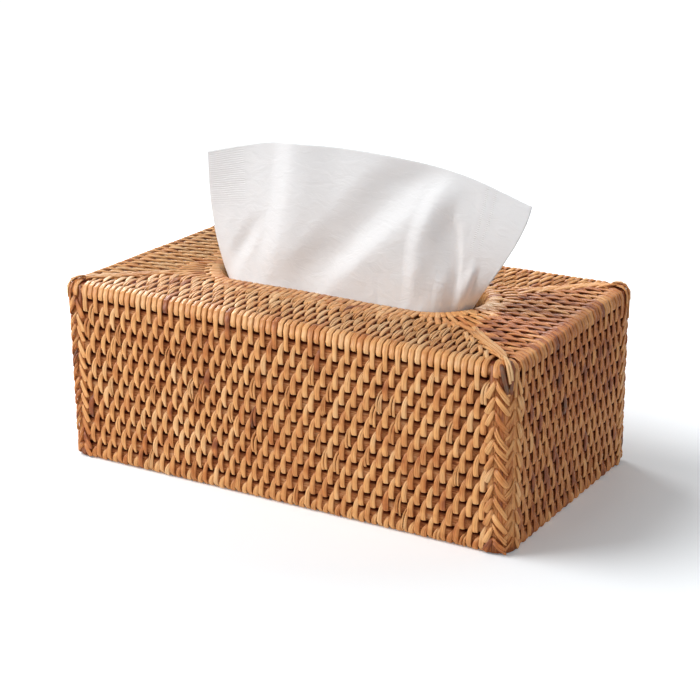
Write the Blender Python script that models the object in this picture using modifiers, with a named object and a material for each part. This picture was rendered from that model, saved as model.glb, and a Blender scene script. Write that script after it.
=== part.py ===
# A hand-woven rattan cover for a flat tissue carton, with the carton, its stack of tissues and the tissue
# that stands out of the oval opening.
# Metres, +Z up. The origin lies on the table under the middle of the cover. The long side runs along X and
# the front looks towards -Y.

import math

import bpy
import bmesh
from mathutils import Matrix, Vector

# The cover, measured over the weave
COVER_LENGTH = 0.260
COVER_WIDTH = 0.141
COVER_HEIGHT = 0.0975
SIDE_BAND = 0.046          # of the top, from the front or the back to the opening
END_BAND = 0.051           # and from each end
BASE_RADIUS = 0.0026       # round of the strands under the base rod
STRAND_THICKNESS = 0.0009
REST_GAP = 0.0003          # between pieces that touch on the real cover

# The rods that the strands are woven round
WALL_ROD_DEPTH = 0.0046
WALL_ROD_SPACING = 0.0009  # daylight between one course and the next
WALL_COURSES = 11
BASE_ROD_HEIGHT = 0.0070
EDGE_ROD_DIAMETER = 0.0074
EDGE_BEND_INSIDE = 0.0004  # inside radius of the edge rod's bend at a corner
TOP_ROD_HEIGHT = 0.0046
TOP_ROD_SPACING = 0.0006
TOP_COURSES = 4
RIM_ROD_DIAMETER = 0.0062
RIM_ROOM_LONG = 0.0004     # from the last course's weave to the rim rod, front and back
RIM_ROOM_END = 0.0034      # and at the two ends
FILLER_MARGIN = 0.0006     # a filler rod's ends stay this far from the weave round them

# The braids
CORNER_BRAID_REACH = 0.0020   # past the corner's curve, on each wall
MITRE_BRAID_WIDTH = 0.0050

# The carton and the stack inside it
CARTON_END_CLEARANCE = 0.0070
CARTON_SIDE_CLEARANCE = 0.0055
CARTON_HEADROOM = 0.0125
CARD_THICKNESS = 0.0008
SLOT_MARGIN = 0.0025       # the carton's slot is this much smaller than the opening, all round
STACK_CLEARANCE = 0.0008
STACK_HEIGHT = 0.048
STACK_EDGE_RADIUS = 0.0012

# The tissue that stands out of the opening
TISSUE_THICKNESS = 0.0005
TISSUE_CLEARANCE = 0.0010  # from the rim's weave to the middle of the sheet
TISSUE_RISE = 0.0715       # of the free edge's highest point over the top
TISSUE_LEFT_OVERHANG = 0.004   # of the free edge's corners past the ends of the opening
TISSUE_RIGHT_OVERHANG = 0.028
TISSUE_LEAN = 0.0195       # of the free edge behind the front of the opening
TISSUE_SWEEP_DEGREES = 80  # how far the sheet follows the right end of the opening
TISSUE_FLARE = 1.9
# The free edge's height along the sheet's width
FREE_EDGE_SHARES = ((0, 0.85), (0.25, 0.99), (0.47, 1.0), (0.64, 0.965), (0.81, 0.90), (1, 0.74))
FOLD_DEPTH = 0.0060        # of the deepest fold, at the opening
# Each fold: its middle and half width along the sheet's width, and its depth
FOLD_SHARES = (
    (0.07, 0.055, 0.75),
    (0.18, 0.055, 0.85),
    (0.30, 0.060, 0.45),
    (0.52, 0.170, 0.65),
    (0.74, 0.055, 0.80),
    (0.86, 0.060, 1.00),
)
PILE_LAYERS = 3            # of the hidden half, folded to and fro over the stack
PILE_STEP = 0.0018
PILE_SIDE_MARGIN = 0.0060  # inside the carton's slot
PILE_END_MARGIN = 0.0240

# Steps of the curves
CORNER_STEPS = 4
ROLL_STEPS = 5
RIM_STEPS = 4              # to each side of the opening's diagonal
TISSUE_COLUMNS = 28
TISSUE_ROWS = 9
ROD_BEVEL_RESOLUTION = 2

# Worked out from the sizes above
OPENING_LENGTH = COVER_LENGTH - 2 * END_BAND
OPENING_WIDTH = COVER_WIDTH - 2 * SIDE_BAND
SKIN_STEP = STRAND_THICKNESS + REST_GAP
WALL_THICKNESS = WALL_ROD_DEPTH + 2 * SKIN_STEP
TOP_THICKNESS = TOP_ROD_HEIGHT + 2 * SKIN_STEP
ROLL_RADIUS = EDGE_ROD_DIAMETER / 2 + SKIN_STEP
ROLL_END = EDGE_ROD_DIAMETER + SKIN_STEP
CORNER_RADIUS = ROLL_END + EDGE_BEND_INSIDE
BAND_START = ROLL_END + REST_GAP
HALF_LENGTH = COVER_LENGTH / 2
HALF_WIDTH = COVER_WIDTH / 2

EDGE_ROD_BOTTOM = COVER_HEIGHT - ROLL_END
BASE_ROD_TOP = SKIN_STEP + BASE_ROD_HEIGHT
WALL_PITCH = (EDGE_ROD_BOTTOM - WALL_ROD_SPACING - BASE_ROD_TOP) / WALL_COURSES
WALL_ROD_HEIGHT = WALL_PITCH - WALL_ROD_SPACING

RIM_ROLL_RADIUS = RIM_ROD_DIAMETER / 2 + SKIN_STEP
RIM_REACH = OPENING_WIDTH / 2 + SKIN_STEP + RIM_ROD_DIAMETER
END_CENTRE = (OPENING_LENGTH - OPENING_WIDTH) / 2
BAND_END_LONG = HALF_WIDTH - RIM_REACH - RIM_ROOM_LONG
BAND_END_SHORT = HALF_LENGTH - END_CENTRE - RIM_REACH - RIM_ROOM_END
TOP_PITCH_LONG = (BAND_END_LONG - STRAND_THICKNESS - BAND_START) / TOP_COURSES
TOP_PITCH_END = (BAND_END_SHORT - STRAND_THICKNESS - BAND_START) / TOP_COURSES
TOP_ROD_WIDTH = min(TOP_PITCH_LONG, TOP_PITCH_END) - TOP_ROD_SPACING

CARTON_LENGTH = COVER_LENGTH - 2 * (WALL_THICKNESS + CARTON_END_CLEARANCE)
CARTON_WIDTH = COVER_WIDTH - 2 * (WALL_THICKNESS + CARTON_SIDE_CLEARANCE)
CARTON_HEIGHT = COVER_HEIGHT - TOP_THICKNESS - CARTON_HEADROOM
SLOT_LENGTH = OPENING_LENGTH - 2 * SLOT_MARGIN
SLOT_WIDTH = OPENING_WIDTH - 2 * SLOT_MARGIN
STACK_TOP = CARD_THICKNESS + REST_GAP + STACK_HEIGHT
PILE_HALF_LENGTH = SLOT_LENGTH / 2 - PILE_END_MARGIN
PILE_HALF_WIDTH = SLOT_WIDTH / 2 - PILE_SIDE_MARGIN

# Colours, as the materials' base colours
PEEL_COLOUR = (0.50, 0.25, 0.095)
ROD_COLOUR = (0.36, 0.155, 0.06)
BRAID_COLOUR = (0.44, 0.22, 0.09)
CARD_COLOUR = (0.80, 0.79, 0.76)
PAPER_COLOUR = (0.90, 0.89, 0.88)


def clear_scene():
    for old in list(bpy.data.objects):
        bpy.data.objects.remove(old, do_unlink=True)


def new_collection(name):
    collection = bpy.data.collections.new(name)
    bpy.context.scene.collection.children.link(collection)
    return collection


def give_material(piece, finish, colour, roughness):
    material = bpy.data.materials.new(piece.name + "_" + finish)
    material.use_nodes = True
    shader = material.node_tree.nodes["Principled BSDF"]
    shader.inputs["Base Color"].default_value = (*colour, 1)
    shader.inputs["Roughness"].default_value = roughness
    shader.inputs["Metallic"].default_value = 0
    material.diffuse_color = (*colour, 1)
    piece.data.materials.append(material)


def arc(centre_a, centre_b, radius, start_degrees, end_degrees, steps):
    # Points on an arc in a plane of two coordinates
    points = []
    for step in range(steps + 1):
        angle = math.radians(start_degrees + (end_degrees - start_degrees) * step / steps)
        points.append((centre_a + radius * math.cos(angle), centre_b + radius * math.sin(angle)))
    return points


def through(shares, place):
    # A smooth line through a few points, read at a place between the first and the last
    last = len(shares) - 1
    index = 0
    while index < last - 1 and place > shares[index + 1][0]:
        index += 1
    before = shares[max(index - 1, 0)]
    start = shares[index]
    end = shares[index + 1]
    after = shares[min(index + 2, last)]
    span = end[0] - start[0]
    part = (place - start[0]) / span
    slope_start = (end[1] - before[1]) / (end[0] - before[0]) * span
    slope_end = (after[1] - start[1]) / (after[0] - start[0]) * span
    square = part * part
    cube = square * part
    return ((2 * cube - 3 * square + 1) * start[1] + (cube - 2 * square + part) * slope_start
            + (3 * square - 2 * cube) * end[1] + (cube - square) * slope_end)


def rounded_rectangle(inset_side, inset_end, radius):
    # A loop inside the cover's outline, counter-clockwise seen from above
    centre_x = HALF_LENGTH - inset_end - radius
    centre_y = HALF_WIDTH - inset_side - radius
    loop = []
    for sign_x, sign_y, start in ((1, -1, -90), (1, 1, 0), (-1, 1, 90), (-1, -1, 180)):
        loop += arc(sign_x * centre_x, sign_y * centre_y, radius, start, start + 90, CORNER_STEPS)
    return loop


def rod(name, path, width, height, level, closed, home):
    # A rod along a level path; its section is an ellipse, width by height
    curve = bpy.data.curves.new(name, "CURVE")
    curve.dimensions = "3D"
    curve.bevel_depth = width / 2
    curve.bevel_resolution = ROD_BEVEL_RESOLUTION
    curve.use_fill_caps = True
    spline = curve.splines.new("POLY")
    spline.points.add(len(path) - 1)
    for point, (x, y) in zip(spline.points, path):
        point.co = (x, y, 0, 1)
    spline.use_cyclic_u = closed
    spline.use_smooth = True
    piece = bpy.data.objects.new(name, curve)
    piece.location = (0, 0, level)
    piece.scale = (1, 1, height / width)
    home.objects.link(piece)
    give_material(piece, "rod", ROD_COLOUR, 0.55)
    return piece


def sheet(name, rows, origin, thickness, home, closed=False):
    # A surface over a grid of points, given its thickness towards the side that its faces turn away from
    mesh = bmesh.new()
    grid = []
    for row in rows:
        grid.append([mesh.verts.new(Vector(point) - Vector(origin)) for point in row])
    columns = len(rows[0])
    for upper, lower in zip(grid, grid[1:]):
        for column in range(columns if closed else columns - 1):
            following = (column + 1) % columns
            mesh.faces.new((upper[column], lower[column], lower[following], upper[following]))
    data = bpy.data.meshes.new(name)
    mesh.to_mesh(data)
    mesh.free()
    data.shade_smooth()
    data.set_sharp_from_angle(angle=math.radians(40))
    piece = bpy.data.objects.new(name, data)
    piece.location = origin
    home.objects.link(piece)
    wall = piece.modifiers.new("Thickness", "SOLIDIFY")
    wall.thickness = thickness
    wall.offset = -1
    wall.use_even_offset = True
    return piece


# Which way each wall looks, and how far it lies from the middle
SIDES = {
    "front": (Vector((0, -1, 0)), HALF_WIDTH, HALF_LENGTH),
    "right": (Vector((1, 0, 0)), HALF_LENGTH, HALF_WIDTH),
    "back": (Vector((0, 1, 0)), HALF_WIDTH, HALF_LENGTH),
    "left": (Vector((-1, 0, 0)), HALF_LENGTH, HALF_WIDTH),
}
CORNERS = {
    "front_right": (1, -1, -90),
    "back_right": (1, 1, 0),
    "back_left": (-1, 1, 90),
    "front_left": (-1, -1, 180),
}


def wall_profile():
    # The strands' way round a wall, as (inset, height): over the edge rod, down the outside, under the base
    # rod and up the inside
    inner = WALL_THICKNESS
    points = [(ROLL_END, COVER_HEIGHT)]
    points += arc(ROLL_RADIUS, COVER_HEIGHT - ROLL_RADIUS, ROLL_RADIUS, 90, 180, ROLL_STEPS)
    points += arc(BASE_RADIUS, BASE_RADIUS, BASE_RADIUS, 180, 270, ROLL_STEPS)
    points += arc(inner - BASE_RADIUS, BASE_RADIUS, BASE_RADIUS, 270, 360, ROLL_STEPS)
    points.append((inner, EDGE_ROD_BOTTOM - REST_GAP))
    return points


def make_wall_weaves(home):
    reach = CORNER_RADIUS + CORNER_BRAID_REACH + REST_GAP
    for name, (outward, distance, half_span) in SIDES.items():
        along = Vector((-outward.y, outward.x, 0))
        rows = []
        for inset, height in wall_profile():
            middle = outward * (distance - inset) + Vector((0, 0, height))
            half = half_span - reach
            rows.append([middle - along * half, middle + along * half])
        piece = sheet(name + "_weave", rows, outward * distance, STRAND_THICKNESS, home)
        give_material(piece, "peel", PEEL_COLOUR, 0.5)


def corner_point(corner, inset, share):
    # A point along a corner's path at an inset; share runs from 0 to 1 round it
    sign_x, sign_y, start = CORNERS[corner]
    centre = Vector((sign_x * (HALF_LENGTH - CORNER_RADIUS), sign_y * (HALF_WIDTH - CORNER_RADIUS), 0))
    angle = math.radians(start + 90 * min(max(share, 0), 1))
    outward = Vector((math.cos(angle), math.sin(angle), 0))
    along = Vector((-outward.y, outward.x, 0))
    overrun = min(share, 0) + max(share - 1, 0)
    return centre + outward * (CORNER_RADIUS - inset) + along * overrun * CORNER_BRAID_REACH


def make_corner_braids(home):
    shares = [-1] + [step / CORNER_STEPS for step in range(CORNER_STEPS + 1)] + [2]
    for name, (sign_x, sign_y, _) in CORNERS.items():
        rows = []
        for inset, height in wall_profile():
            rise = Vector((0, 0, height))
            rows.append([corner_point(name, inset, share) + rise for share in shares])
        origin = (sign_x * HALF_LENGTH, sign_y * HALF_WIDTH, 0)
        piece = sheet("corner_braid_" + name, rows, origin, STRAND_THICKNESS, home)
        give_material(piece, "braid", BRAID_COLOUR, 0.5)


def band_profile(band_end):
    # The strands' way round a side of the top, as (inset, height)
    return [
        (BAND_START, COVER_HEIGHT),
        (band_end, COVER_HEIGHT),
        (band_end, COVER_HEIGHT - TOP_THICKNESS),
        (BAND_START, COVER_HEIGHT - TOP_THICKNESS),
    ]


def make_top_weaves(home):
    run_long = BAND_END_LONG - BAND_START
    run_short = BAND_END_SHORT - BAND_START
    clear = MITRE_BRAID_WIDTH / 2 + REST_GAP
    diagonal = math.hypot(run_long, run_short)
    for name, (outward, distance, half_span) in SIDES.items():
        along = Vector((-outward.y, outward.x, 0))
        is_long = name in ("front", "back")
        band_end = BAND_END_LONG if is_long else BAND_END_SHORT
        run = run_long if is_long else run_short
        other_run = run_short if is_long else run_long
        rows = []
        for inset, height in band_profile(band_end):
            mitre = BAND_START + (inset - BAND_START) * other_run / run
            half = half_span - mitre - clear * diagonal / run
            middle = outward * (distance - inset) + Vector((0, 0, height))
            rows.append([middle + along * half, middle - along * half])
        origin = outward * (distance - BAND_START) + Vector((0, 0, COVER_HEIGHT))
        piece = sheet("top_" + name + "_weave", rows, origin, STRAND_THICKNESS, home)
        give_material(piece, "peel", PEEL_COLOUR, 0.5)


def make_mitre_braids(home):
    # A strip along each diagonal of the top, pointed to fill the corner at both ends
    run_x = BAND_END_SHORT - BAND_START
    run_y = BAND_END_LONG - BAND_START
    half_width = MITRE_BRAID_WIDTH / 2 * math.hypot(run_x, run_y)
    cut_x = half_width / run_y
    cut_y = half_width / run_x
    outline = [(0, 0), (cut_x, 0), (run_x, run_y - cut_y), (run_x, run_y), (run_x - cut_x, run_y), (0, cut_y)]
    for name, (sign_x, sign_y, _) in CORNERS.items():
        curve = bpy.data.curves.new("mitre_braid_" + name, "CURVE")
        curve.dimensions = "2D"
        curve.fill_mode = "BOTH"
        curve.extrude = STRAND_THICKNESS / 2
        spline = curve.splines.new("POLY")
        spline.points.add(len(outline) - 1)
        for point, (x, y) in zip(spline.points, outline):
            point.co = (-sign_x * x, -sign_y * y, 0, 1)
        spline.use_cyclic_u = True
        piece = bpy.data.objects.new(curve.name, curve)
        corner_x = sign_x * (HALF_LENGTH - BAND_START)
        corner_y = sign_y * (HALF_WIDTH - BAND_START)
        piece.location = (corner_x, corner_y, COVER_HEIGHT - STRAND_THICKNESS / 2)
        home.objects.link(piece)
        give_material(piece, "braid", BRAID_COLOUR, 0.5)


def move_home(piece, home):
    for collection in list(piece.users_collection):
        collection.objects.unlink(piece)
    home.objects.link(piece)


def make_wall_rods(home):
    inset = SKIN_STEP + WALL_ROD_DEPTH / 2
    path = rounded_rectangle(inset, inset, CORNER_RADIUS - inset)
    rod("base_rod", path, WALL_ROD_DEPTH, BASE_ROD_HEIGHT, BASE_ROD_TOP - BASE_ROD_HEIGHT / 2, True, home)
    for course in range(WALL_COURSES):
        level = BASE_ROD_TOP + WALL_PITCH * (course + 1) - WALL_ROD_HEIGHT / 2
        rod("wall_rod_%02d" % (course + 1), path, WALL_ROD_DEPTH, WALL_ROD_HEIGHT, level, True, home)
    path = rounded_rectangle(ROLL_RADIUS, ROLL_RADIUS, CORNER_RADIUS - ROLL_RADIUS)
    level = COVER_HEIGHT - ROLL_RADIUS
    rod("edge_rod", path, EDGE_ROD_DIAMETER, EDGE_ROD_DIAMETER, level, True, home)


def make_top_rods(home):
    level = COVER_HEIGHT - SKIN_STEP - TOP_ROD_HEIGHT / 2
    radius = TOP_ROD_WIDTH / 2 + EDGE_BEND_INSIDE
    for course in range(TOP_COURSES):
        inset_side = BAND_START + TOP_PITCH_LONG * (course + 0.5)
        inset_end = BAND_START + TOP_PITCH_END * (course + 0.5)
        path = rounded_rectangle(inset_side, inset_end, radius)
        rod("top_rod_%d" % (course + 1), path, TOP_ROD_WIDTH, TOP_ROD_HEIGHT, level, True, home)


def opening_directions():
    # Centres and directions round the opening, with one at each corner of the weave round it
    corner = math.atan2(HALF_WIDTH - BAND_END_LONG - REST_GAP, HALF_LENGTH - BAND_END_SHORT - REST_GAP - END_CENTRE)
    quarter = [corner * step / RIM_STEPS for step in range(RIM_STEPS)]
    rest = math.pi / 2 - corner
    quarter += [corner + rest * step / RIM_STEPS for step in range(RIM_STEPS + 1)]
    stations = [(1, angle) for angle in quarter]
    stations += [(-1, math.pi - angle) for angle in reversed(quarter)]
    stations += [(-1, math.pi + angle) for angle in quarter[1:]]
    stations += [(1, -angle) for angle in reversed(quarter[1:])]
    return [(Vector((sign * END_CENTRE, 0, 0)), Vector((math.cos(a), math.sin(a), 0))) for sign, a in stations]


def opening_loop(distance, height):
    # A loop round the opening, a distance outside its clear edge
    reach = OPENING_WIDTH / 2 + distance
    return [centre + outward * reach + Vector((0, 0, height)) for centre, outward in opening_directions()]


def wrap_border(height):
    # The rectangle that the rim's weave fills, met straight out from the opening's edge
    limit_x = HALF_LENGTH - BAND_END_SHORT - REST_GAP
    limit_y = HALF_WIDTH - BAND_END_LONG - REST_GAP
    loop = []
    for centre, outward in opening_directions():
        # How far out it goes, from whichever side of the rectangle it meets first
        steepness = max(abs(outward.x) / (limit_x - abs(centre.x)), abs(outward.y) / limit_y)
        loop.append(centre + outward / steepness + Vector((0, 0, height)))
    return loop


def make_rim(home):
    centre_height = COVER_HEIGHT - RIM_ROLL_RADIUS
    rows = [wrap_border(COVER_HEIGHT - TOP_THICKNESS)]
    for distance, height in arc(RIM_ROLL_RADIUS, centre_height, RIM_ROLL_RADIUS, 270, 90, 2 * ROLL_STEPS - 2):
        rows.append(opening_loop(distance, height))
    rows.append(wrap_border(COVER_HEIGHT))
    wrap = sheet("rim_wrap", rows, (0, 0, COVER_HEIGHT), STRAND_THICKNESS, home, closed=True)
    give_material(wrap, "peel", PEEL_COLOUR, 0.5)

    path = [(point.x, point.y) for point in opening_loop(RIM_ROLL_RADIUS, 0)]
    rod("rim_rod", path, RIM_ROD_DIAMETER, RIM_ROD_DIAMETER, centre_height, True, home)


def make_filler_rods(home):
    # Short rods that follow the opening's ends, in the corners between the oval and the straight courses
    inner = RIM_REACH + REST_GAP
    outer = inner + TOP_ROD_WIDTH
    limit_x = HALF_LENGTH - BAND_END_SHORT - FILLER_MARGIN - END_CENTRE
    limit_y = HALF_WIDTH - BAND_END_LONG - FILLER_MARGIN
    slack = math.degrees(FILLER_MARGIN / outer)
    start = math.degrees(math.acos(min(limit_x / outer, 1))) + slack
    end = math.degrees(math.asin(min(limit_y / outer, 1))) - slack
    level = COVER_HEIGHT - SKIN_STEP - TOP_ROD_HEIGHT / 2
    for name, (sign_x, sign_y, _) in CORNERS.items():
        quarter = arc(END_CENTRE, 0, inner + TOP_ROD_WIDTH / 2, start, end, CORNER_STEPS)
        path = [(sign_x * x, sign_y * y) for x, y in quarter]
        rod("filler_rod_" + name, path, TOP_ROD_WIDTH, TOP_ROD_HEIGHT, level, False, home)


def make_carton(home, cutters):
    bpy.ops.mesh.primitive_cube_add(size=1, location=(0, 0, 0))
    carton = bpy.context.object
    carton.name = "tissue_carton"
    carton.data.name = carton.name
    carton.data.transform(Matrix.Diagonal((CARTON_LENGTH, CARTON_WIDTH, CARTON_HEIGHT, 1)))
    carton.data.transform(Matrix.Translation((0, 0, CARTON_HEIGHT / 2)))
    card = carton.modifiers.new("Card", "SOLIDIFY")
    card.thickness = CARD_THICKNESS
    card.offset = -1
    card.use_even_offset = True
    move_home(carton, home)
    give_material(carton, "card", CARD_COLOUR, 0.6)

    radius = SLOT_WIDTH / 2
    centre_x = SLOT_LENGTH / 2 - radius
    outline = arc(centre_x, 0, radius, -90, 90, 2 * CORNER_STEPS)
    outline += arc(-centre_x, 0, radius, 90, 270, 2 * CORNER_STEPS)
    mesh = bmesh.new()
    floor = mesh.faces.new([mesh.verts.new((x, y, CARTON_HEIGHT - 2 * CARD_THICKNESS)) for x, y in outline])
    risen = bmesh.ops.extrude_face_region(mesh, geom=[floor])
    lifted = [item for item in risen["geom"] if isinstance(item, bmesh.types.BMVert)]
    bmesh.ops.translate(mesh, verts=lifted, vec=(0, 0, 3 * CARD_THICKNESS))
    bmesh.ops.recalc_face_normals(mesh, faces=mesh.faces)
    data = bpy.data.meshes.new("slot_cutter")
    mesh.to_mesh(data)
    mesh.free()
    cutter = bpy.data.objects.new("slot_cutter", data)
    cutters.objects.link(cutter)
    cutter.hide_render = True
    cutter.display_type = "WIRE"
    cut = carton.modifiers.new("Slot", "BOOLEAN")
    cut.operation = "DIFFERENCE"
    cut.object = cutter


def make_stack(home):
    margin = 2 * (CARD_THICKNESS + STACK_CLEARANCE)
    size = (CARTON_LENGTH - margin, CARTON_WIDTH - margin, STACK_HEIGHT, 1)
    bpy.ops.mesh.primitive_cube_add(size=1, location=(0, 0, CARD_THICKNESS + REST_GAP))
    stack = bpy.context.object
    stack.name = "tissue_stack"
    stack.data.name = stack.name
    stack.data.transform(Matrix.Diagonal(size))
    stack.data.transform(Matrix.Translation((0, 0, STACK_HEIGHT / 2)))
    edges = stack.modifiers.new("Edges", "BEVEL")
    edges.width = STACK_EDGE_RADIUS
    edges.segments = 2
    move_home(stack, home)
    give_material(stack, "paper", PAPER_COLOUR, 0.9)


def tissue_foot(share):
    # Along the front of the opening and round its right end
    radius = OPENING_WIDTH / 2 - TISSUE_CLEARANCE
    straight = 2 * END_CENTRE
    run = share * (straight + radius * math.radians(TISSUE_SWEEP_DEGREES))
    if run < straight:
        return Vector((run - END_CENTRE, -radius, 0))
    angle = (run - straight) / radius - math.pi / 2
    return Vector((END_CENTRE + radius * math.cos(angle), radius * math.sin(angle), 0))


def tissue_head(share):
    # Along the free edge, seen from above
    left = -OPENING_LENGTH / 2 - TISSUE_LEFT_OVERHANG
    right = OPENING_LENGTH / 2 + TISSUE_RIGHT_OVERHANG
    return Vector((left + (right - left) * share, TISSUE_LEAN - OPENING_WIDTH / 2, 0))


def tissue_pile(share, side):
    # Along a fold of the hidden half; side runs from -1, the front, to 1
    return Vector(((2 * share - 1) * PILE_HALF_LENGTH, side * PILE_HALF_WIDTH, 0))


def tissue_fold(share):
    depth = 0
    for middle, half_width, part in FOLD_SHARES:
        away = abs(share - middle) / half_width
        if away < 1:
            depth += FOLD_DEPTH * part * (0.5 + 0.5 * math.cos(math.pi * away))
    return Vector((0, depth, 0))


def tissue_rows():
    shares = [column / TISSUE_COLUMNS for column in range(TISSUE_COLUMNS + 1)]
    rows = []
    # The half that stands over the opening, from the free edge down
    for row in range(TISSUE_ROWS + 1):
        up = 1 - row / TISSUE_ROWS
        flare = 1 - (1 - up) ** TISSUE_FLARE
        line = []
        for share in shares:
            point = tissue_foot(share).lerp(tissue_head(share), flare) + tissue_fold(share) * (1 - up / 2)
            point.z = COVER_HEIGHT + TISSUE_RISE * through(FREE_EDGE_SHARES, share) * up
            line.append(point)
        rows.append(line)
    # Down past the rim and through the carton's slot
    neck = COVER_HEIGHT - RIM_ROLL_RADIUS
    pile_top = STACK_TOP + REST_GAP + TISSUE_THICKNESS / 2 + PILE_STEP * (PILE_LAYERS - 1)
    for part in (0, 0.35, 0.7):
        drawn_in = 1 - (1 - part) ** 2
        line = []
        for share in shares:
            point = tissue_foot(share).lerp(tissue_pile(share, -1), drawn_in) + tissue_fold(share) * (1 - part)
            point.z = neck + (pile_top - neck) * part
            line.append(point)
        rows.append(line)
    # To and fro over the stack
    for layer in range(PILE_LAYERS):
        side = 1 if layer % 2 else -1
        for end in (side, -side):
            height = Vector((0, 0, pile_top - PILE_STEP * layer))
            rows.append([tissue_pile(share, end) + height for share in shares])
    return rows


def make_tissue(home):
    tissue = sheet("pulled_tissue", tissue_rows(), (0, 0, COVER_HEIGHT), TISSUE_THICKNESS, home)
    tissue.modifiers["Thickness"].offset = 0
    give_material(tissue, "paper", PAPER_COLOUR, 0.9)


def main():
    clear_scene()
    home = new_collection("tissue_box_cover")
    cutters = new_collection("cutters")
    make_wall_rods(home)
    make_top_rods(home)
    make_rim(home)
    make_filler_rods(home)
    make_wall_weaves(home)
    make_corner_braids(home)
    make_top_weaves(home)
    make_mitre_braids(home)
    make_carton(home, cutters)
    make_stack(home)
    make_tissue(home)


main()
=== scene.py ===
# Woven rattan tissue box cover: every strand, the rods behind them, the carton and the pulled-up tissue.
import math
import random

import bmesh
import bpy
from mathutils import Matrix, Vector, noise


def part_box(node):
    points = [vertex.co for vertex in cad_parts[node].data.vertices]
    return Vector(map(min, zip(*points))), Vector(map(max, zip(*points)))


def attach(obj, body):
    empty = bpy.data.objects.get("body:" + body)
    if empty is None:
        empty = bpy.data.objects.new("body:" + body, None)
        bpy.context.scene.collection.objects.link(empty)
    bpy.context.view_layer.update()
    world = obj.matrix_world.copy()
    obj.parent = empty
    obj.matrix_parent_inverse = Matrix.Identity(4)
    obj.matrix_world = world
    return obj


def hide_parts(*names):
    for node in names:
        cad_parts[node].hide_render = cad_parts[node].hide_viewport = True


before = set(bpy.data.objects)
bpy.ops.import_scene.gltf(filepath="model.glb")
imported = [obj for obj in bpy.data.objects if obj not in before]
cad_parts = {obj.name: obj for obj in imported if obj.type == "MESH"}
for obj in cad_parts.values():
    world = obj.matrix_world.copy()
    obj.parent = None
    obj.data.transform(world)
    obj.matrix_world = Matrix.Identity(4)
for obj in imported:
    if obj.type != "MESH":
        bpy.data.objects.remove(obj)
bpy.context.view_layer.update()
mm = 0.001
print("frame loaded")


# Small helpers

def mix(start, end, part):
    return start + (end - start) * part


def ease(part):
    part = min(max(part, 0), 1)
    return part * part * (3 - 2 * part)


def joinedHigh(*names):
    # The highest corner of several nodes together
    highs = [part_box(name)[1] for name in names]
    return Vector([max(high[axis] for high in highs) for axis in range(3)])


def waver(seed, place, size=1):
    # A smooth random value from -1 to 1 that belongs to a seed
    return noise.noise(Vector((seed * 7.31, place * size, seed * 1.7)))


# The cover's sizes, from the frame
coverHigh = joinedHigh("front_weave", "back_weave", "left_weave", "right_weave")
halfLength = coverHigh.x
halfWidth = coverHigh.y
coverHeight = coverHigh.z
edgeLow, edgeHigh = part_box("edge_rod")
skinStep = halfLength - edgeHigh.x
rollRadius = (edgeHigh.z - edgeLow.z) / 2 + skinStep
rollArc = rollRadius * math.pi / 2
stackedRods = ["base_rod"] + ["wall_rod_%02d" % number for number in range(1, 12)] + ["edge_rod"]
stackedBoxes = [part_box(name) for name in stackedRods]
wallLines = [(lower[1].z + upper[0].z) / 2 for lower, upper in zip(stackedBoxes, stackedBoxes[1:])]
wallLines.reverse()

cover = {
    "baseRadius": 2.6 * mm,
    "wallDepth": 7.0 * mm,
    "cornerRadius": 9.0 * mm,
    "sag": 2.6 * mm,        # how far the right front corner has sunk
}


def settle(point):
    # The handmade cover sags a little towards its right front corner, and no line on it is dead straight
    right = ease((point.x / halfLength + 1) / 2) ** 1.3
    front = ease(0.5 - point.y / halfWidth / 2)
    high = max(point.z / coverHeight, 0)
    sink = cover["sag"] * right * front * high ** 1.4
    wave = 0.35 * mm * noise.noise(point * 22) * min(high * 3, 1)
    return Vector((point.x, point.y, point.z - sink + wave))


def finishPiece(made, name, body, material, replaced=(), settled=True):
    for vertex in made.verts:
        if settled:
            vertex.co = settle(vertex.co)
        vertex.co.z = max(vertex.co.z, 0)
    data = bpy.data.meshes.new(name)
    made.to_mesh(data)
    made.free()
    data.shade_smooth()
    piece = bpy.data.objects.new(name, data)
    bpy.context.scene.collection.objects.link(piece)
    data.materials.append(material)
    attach(piece, body)
    if replaced:
        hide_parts(*replaced)
    return piece


# Materials

def setInputs(tree, node, inputs):
    for key, value in inputs.items():
        if isinstance(value, bpy.types.NodeSocket):
            tree.links.new(value, node.inputs[key])
        else:
            node.inputs[key].default_value = value


def addNode(tree, kind, inputs=None, **settings):
    node = tree.nodes.new(kind)
    for key, value in settings.items():
        setattr(node, key, value)
    setInputs(tree, node, inputs or {})
    return node


def addMath(tree, operation, *values):
    return addNode(tree, "ShaderNodeMath", dict(enumerate(values)), operation=operation).outputs[0]


def addRange(tree, *values):
    # A value, the range that it has and the range that it gets
    return addNode(tree, "ShaderNodeMapRange", dict(enumerate(values))).outputs[0]


def addNoise(tree, place, scale, detail, roughness):
    inputs = {"Vector": place, "Scale": scale, "Detail": detail, "Roughness": roughness}
    return addNode(tree, "ShaderNodeTexNoise", inputs).outputs[0]


def addBump(tree, height, distance, strength, **before):
    inputs = {"Height": height, "Distance": distance, "Strength": strength, **before}
    return addNode(tree, "ShaderNodeBump", inputs).outputs[0]


def addPaintedShade(tree, colour, paintedShadeAndGrain):
    # One colour multiplied by another: it paints shade onto a strand's or rod's colour, on strands with the
    # grain's streaks
    inputs = {"Factor": 1.0, 6: colour, 7: paintedShadeAndGrain}
    return addNode(tree, "ShaderNodeMix", inputs, data_type="RGBA", blend_type="MULTIPLY").outputs[2]


def addRamp(tree, value, stops):
    ramp = addNode(tree, "ShaderNodeValToRGB", {"Fac": value})
    elements = ramp.color_ramp.elements
    while len(elements) < len(stops):
        elements.new(0.5)
    for element, (place, colour) in zip(elements, stops):
        element.position = place
        element.color = (*colour, 1)
    return ramp.outputs["Color"]


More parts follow.
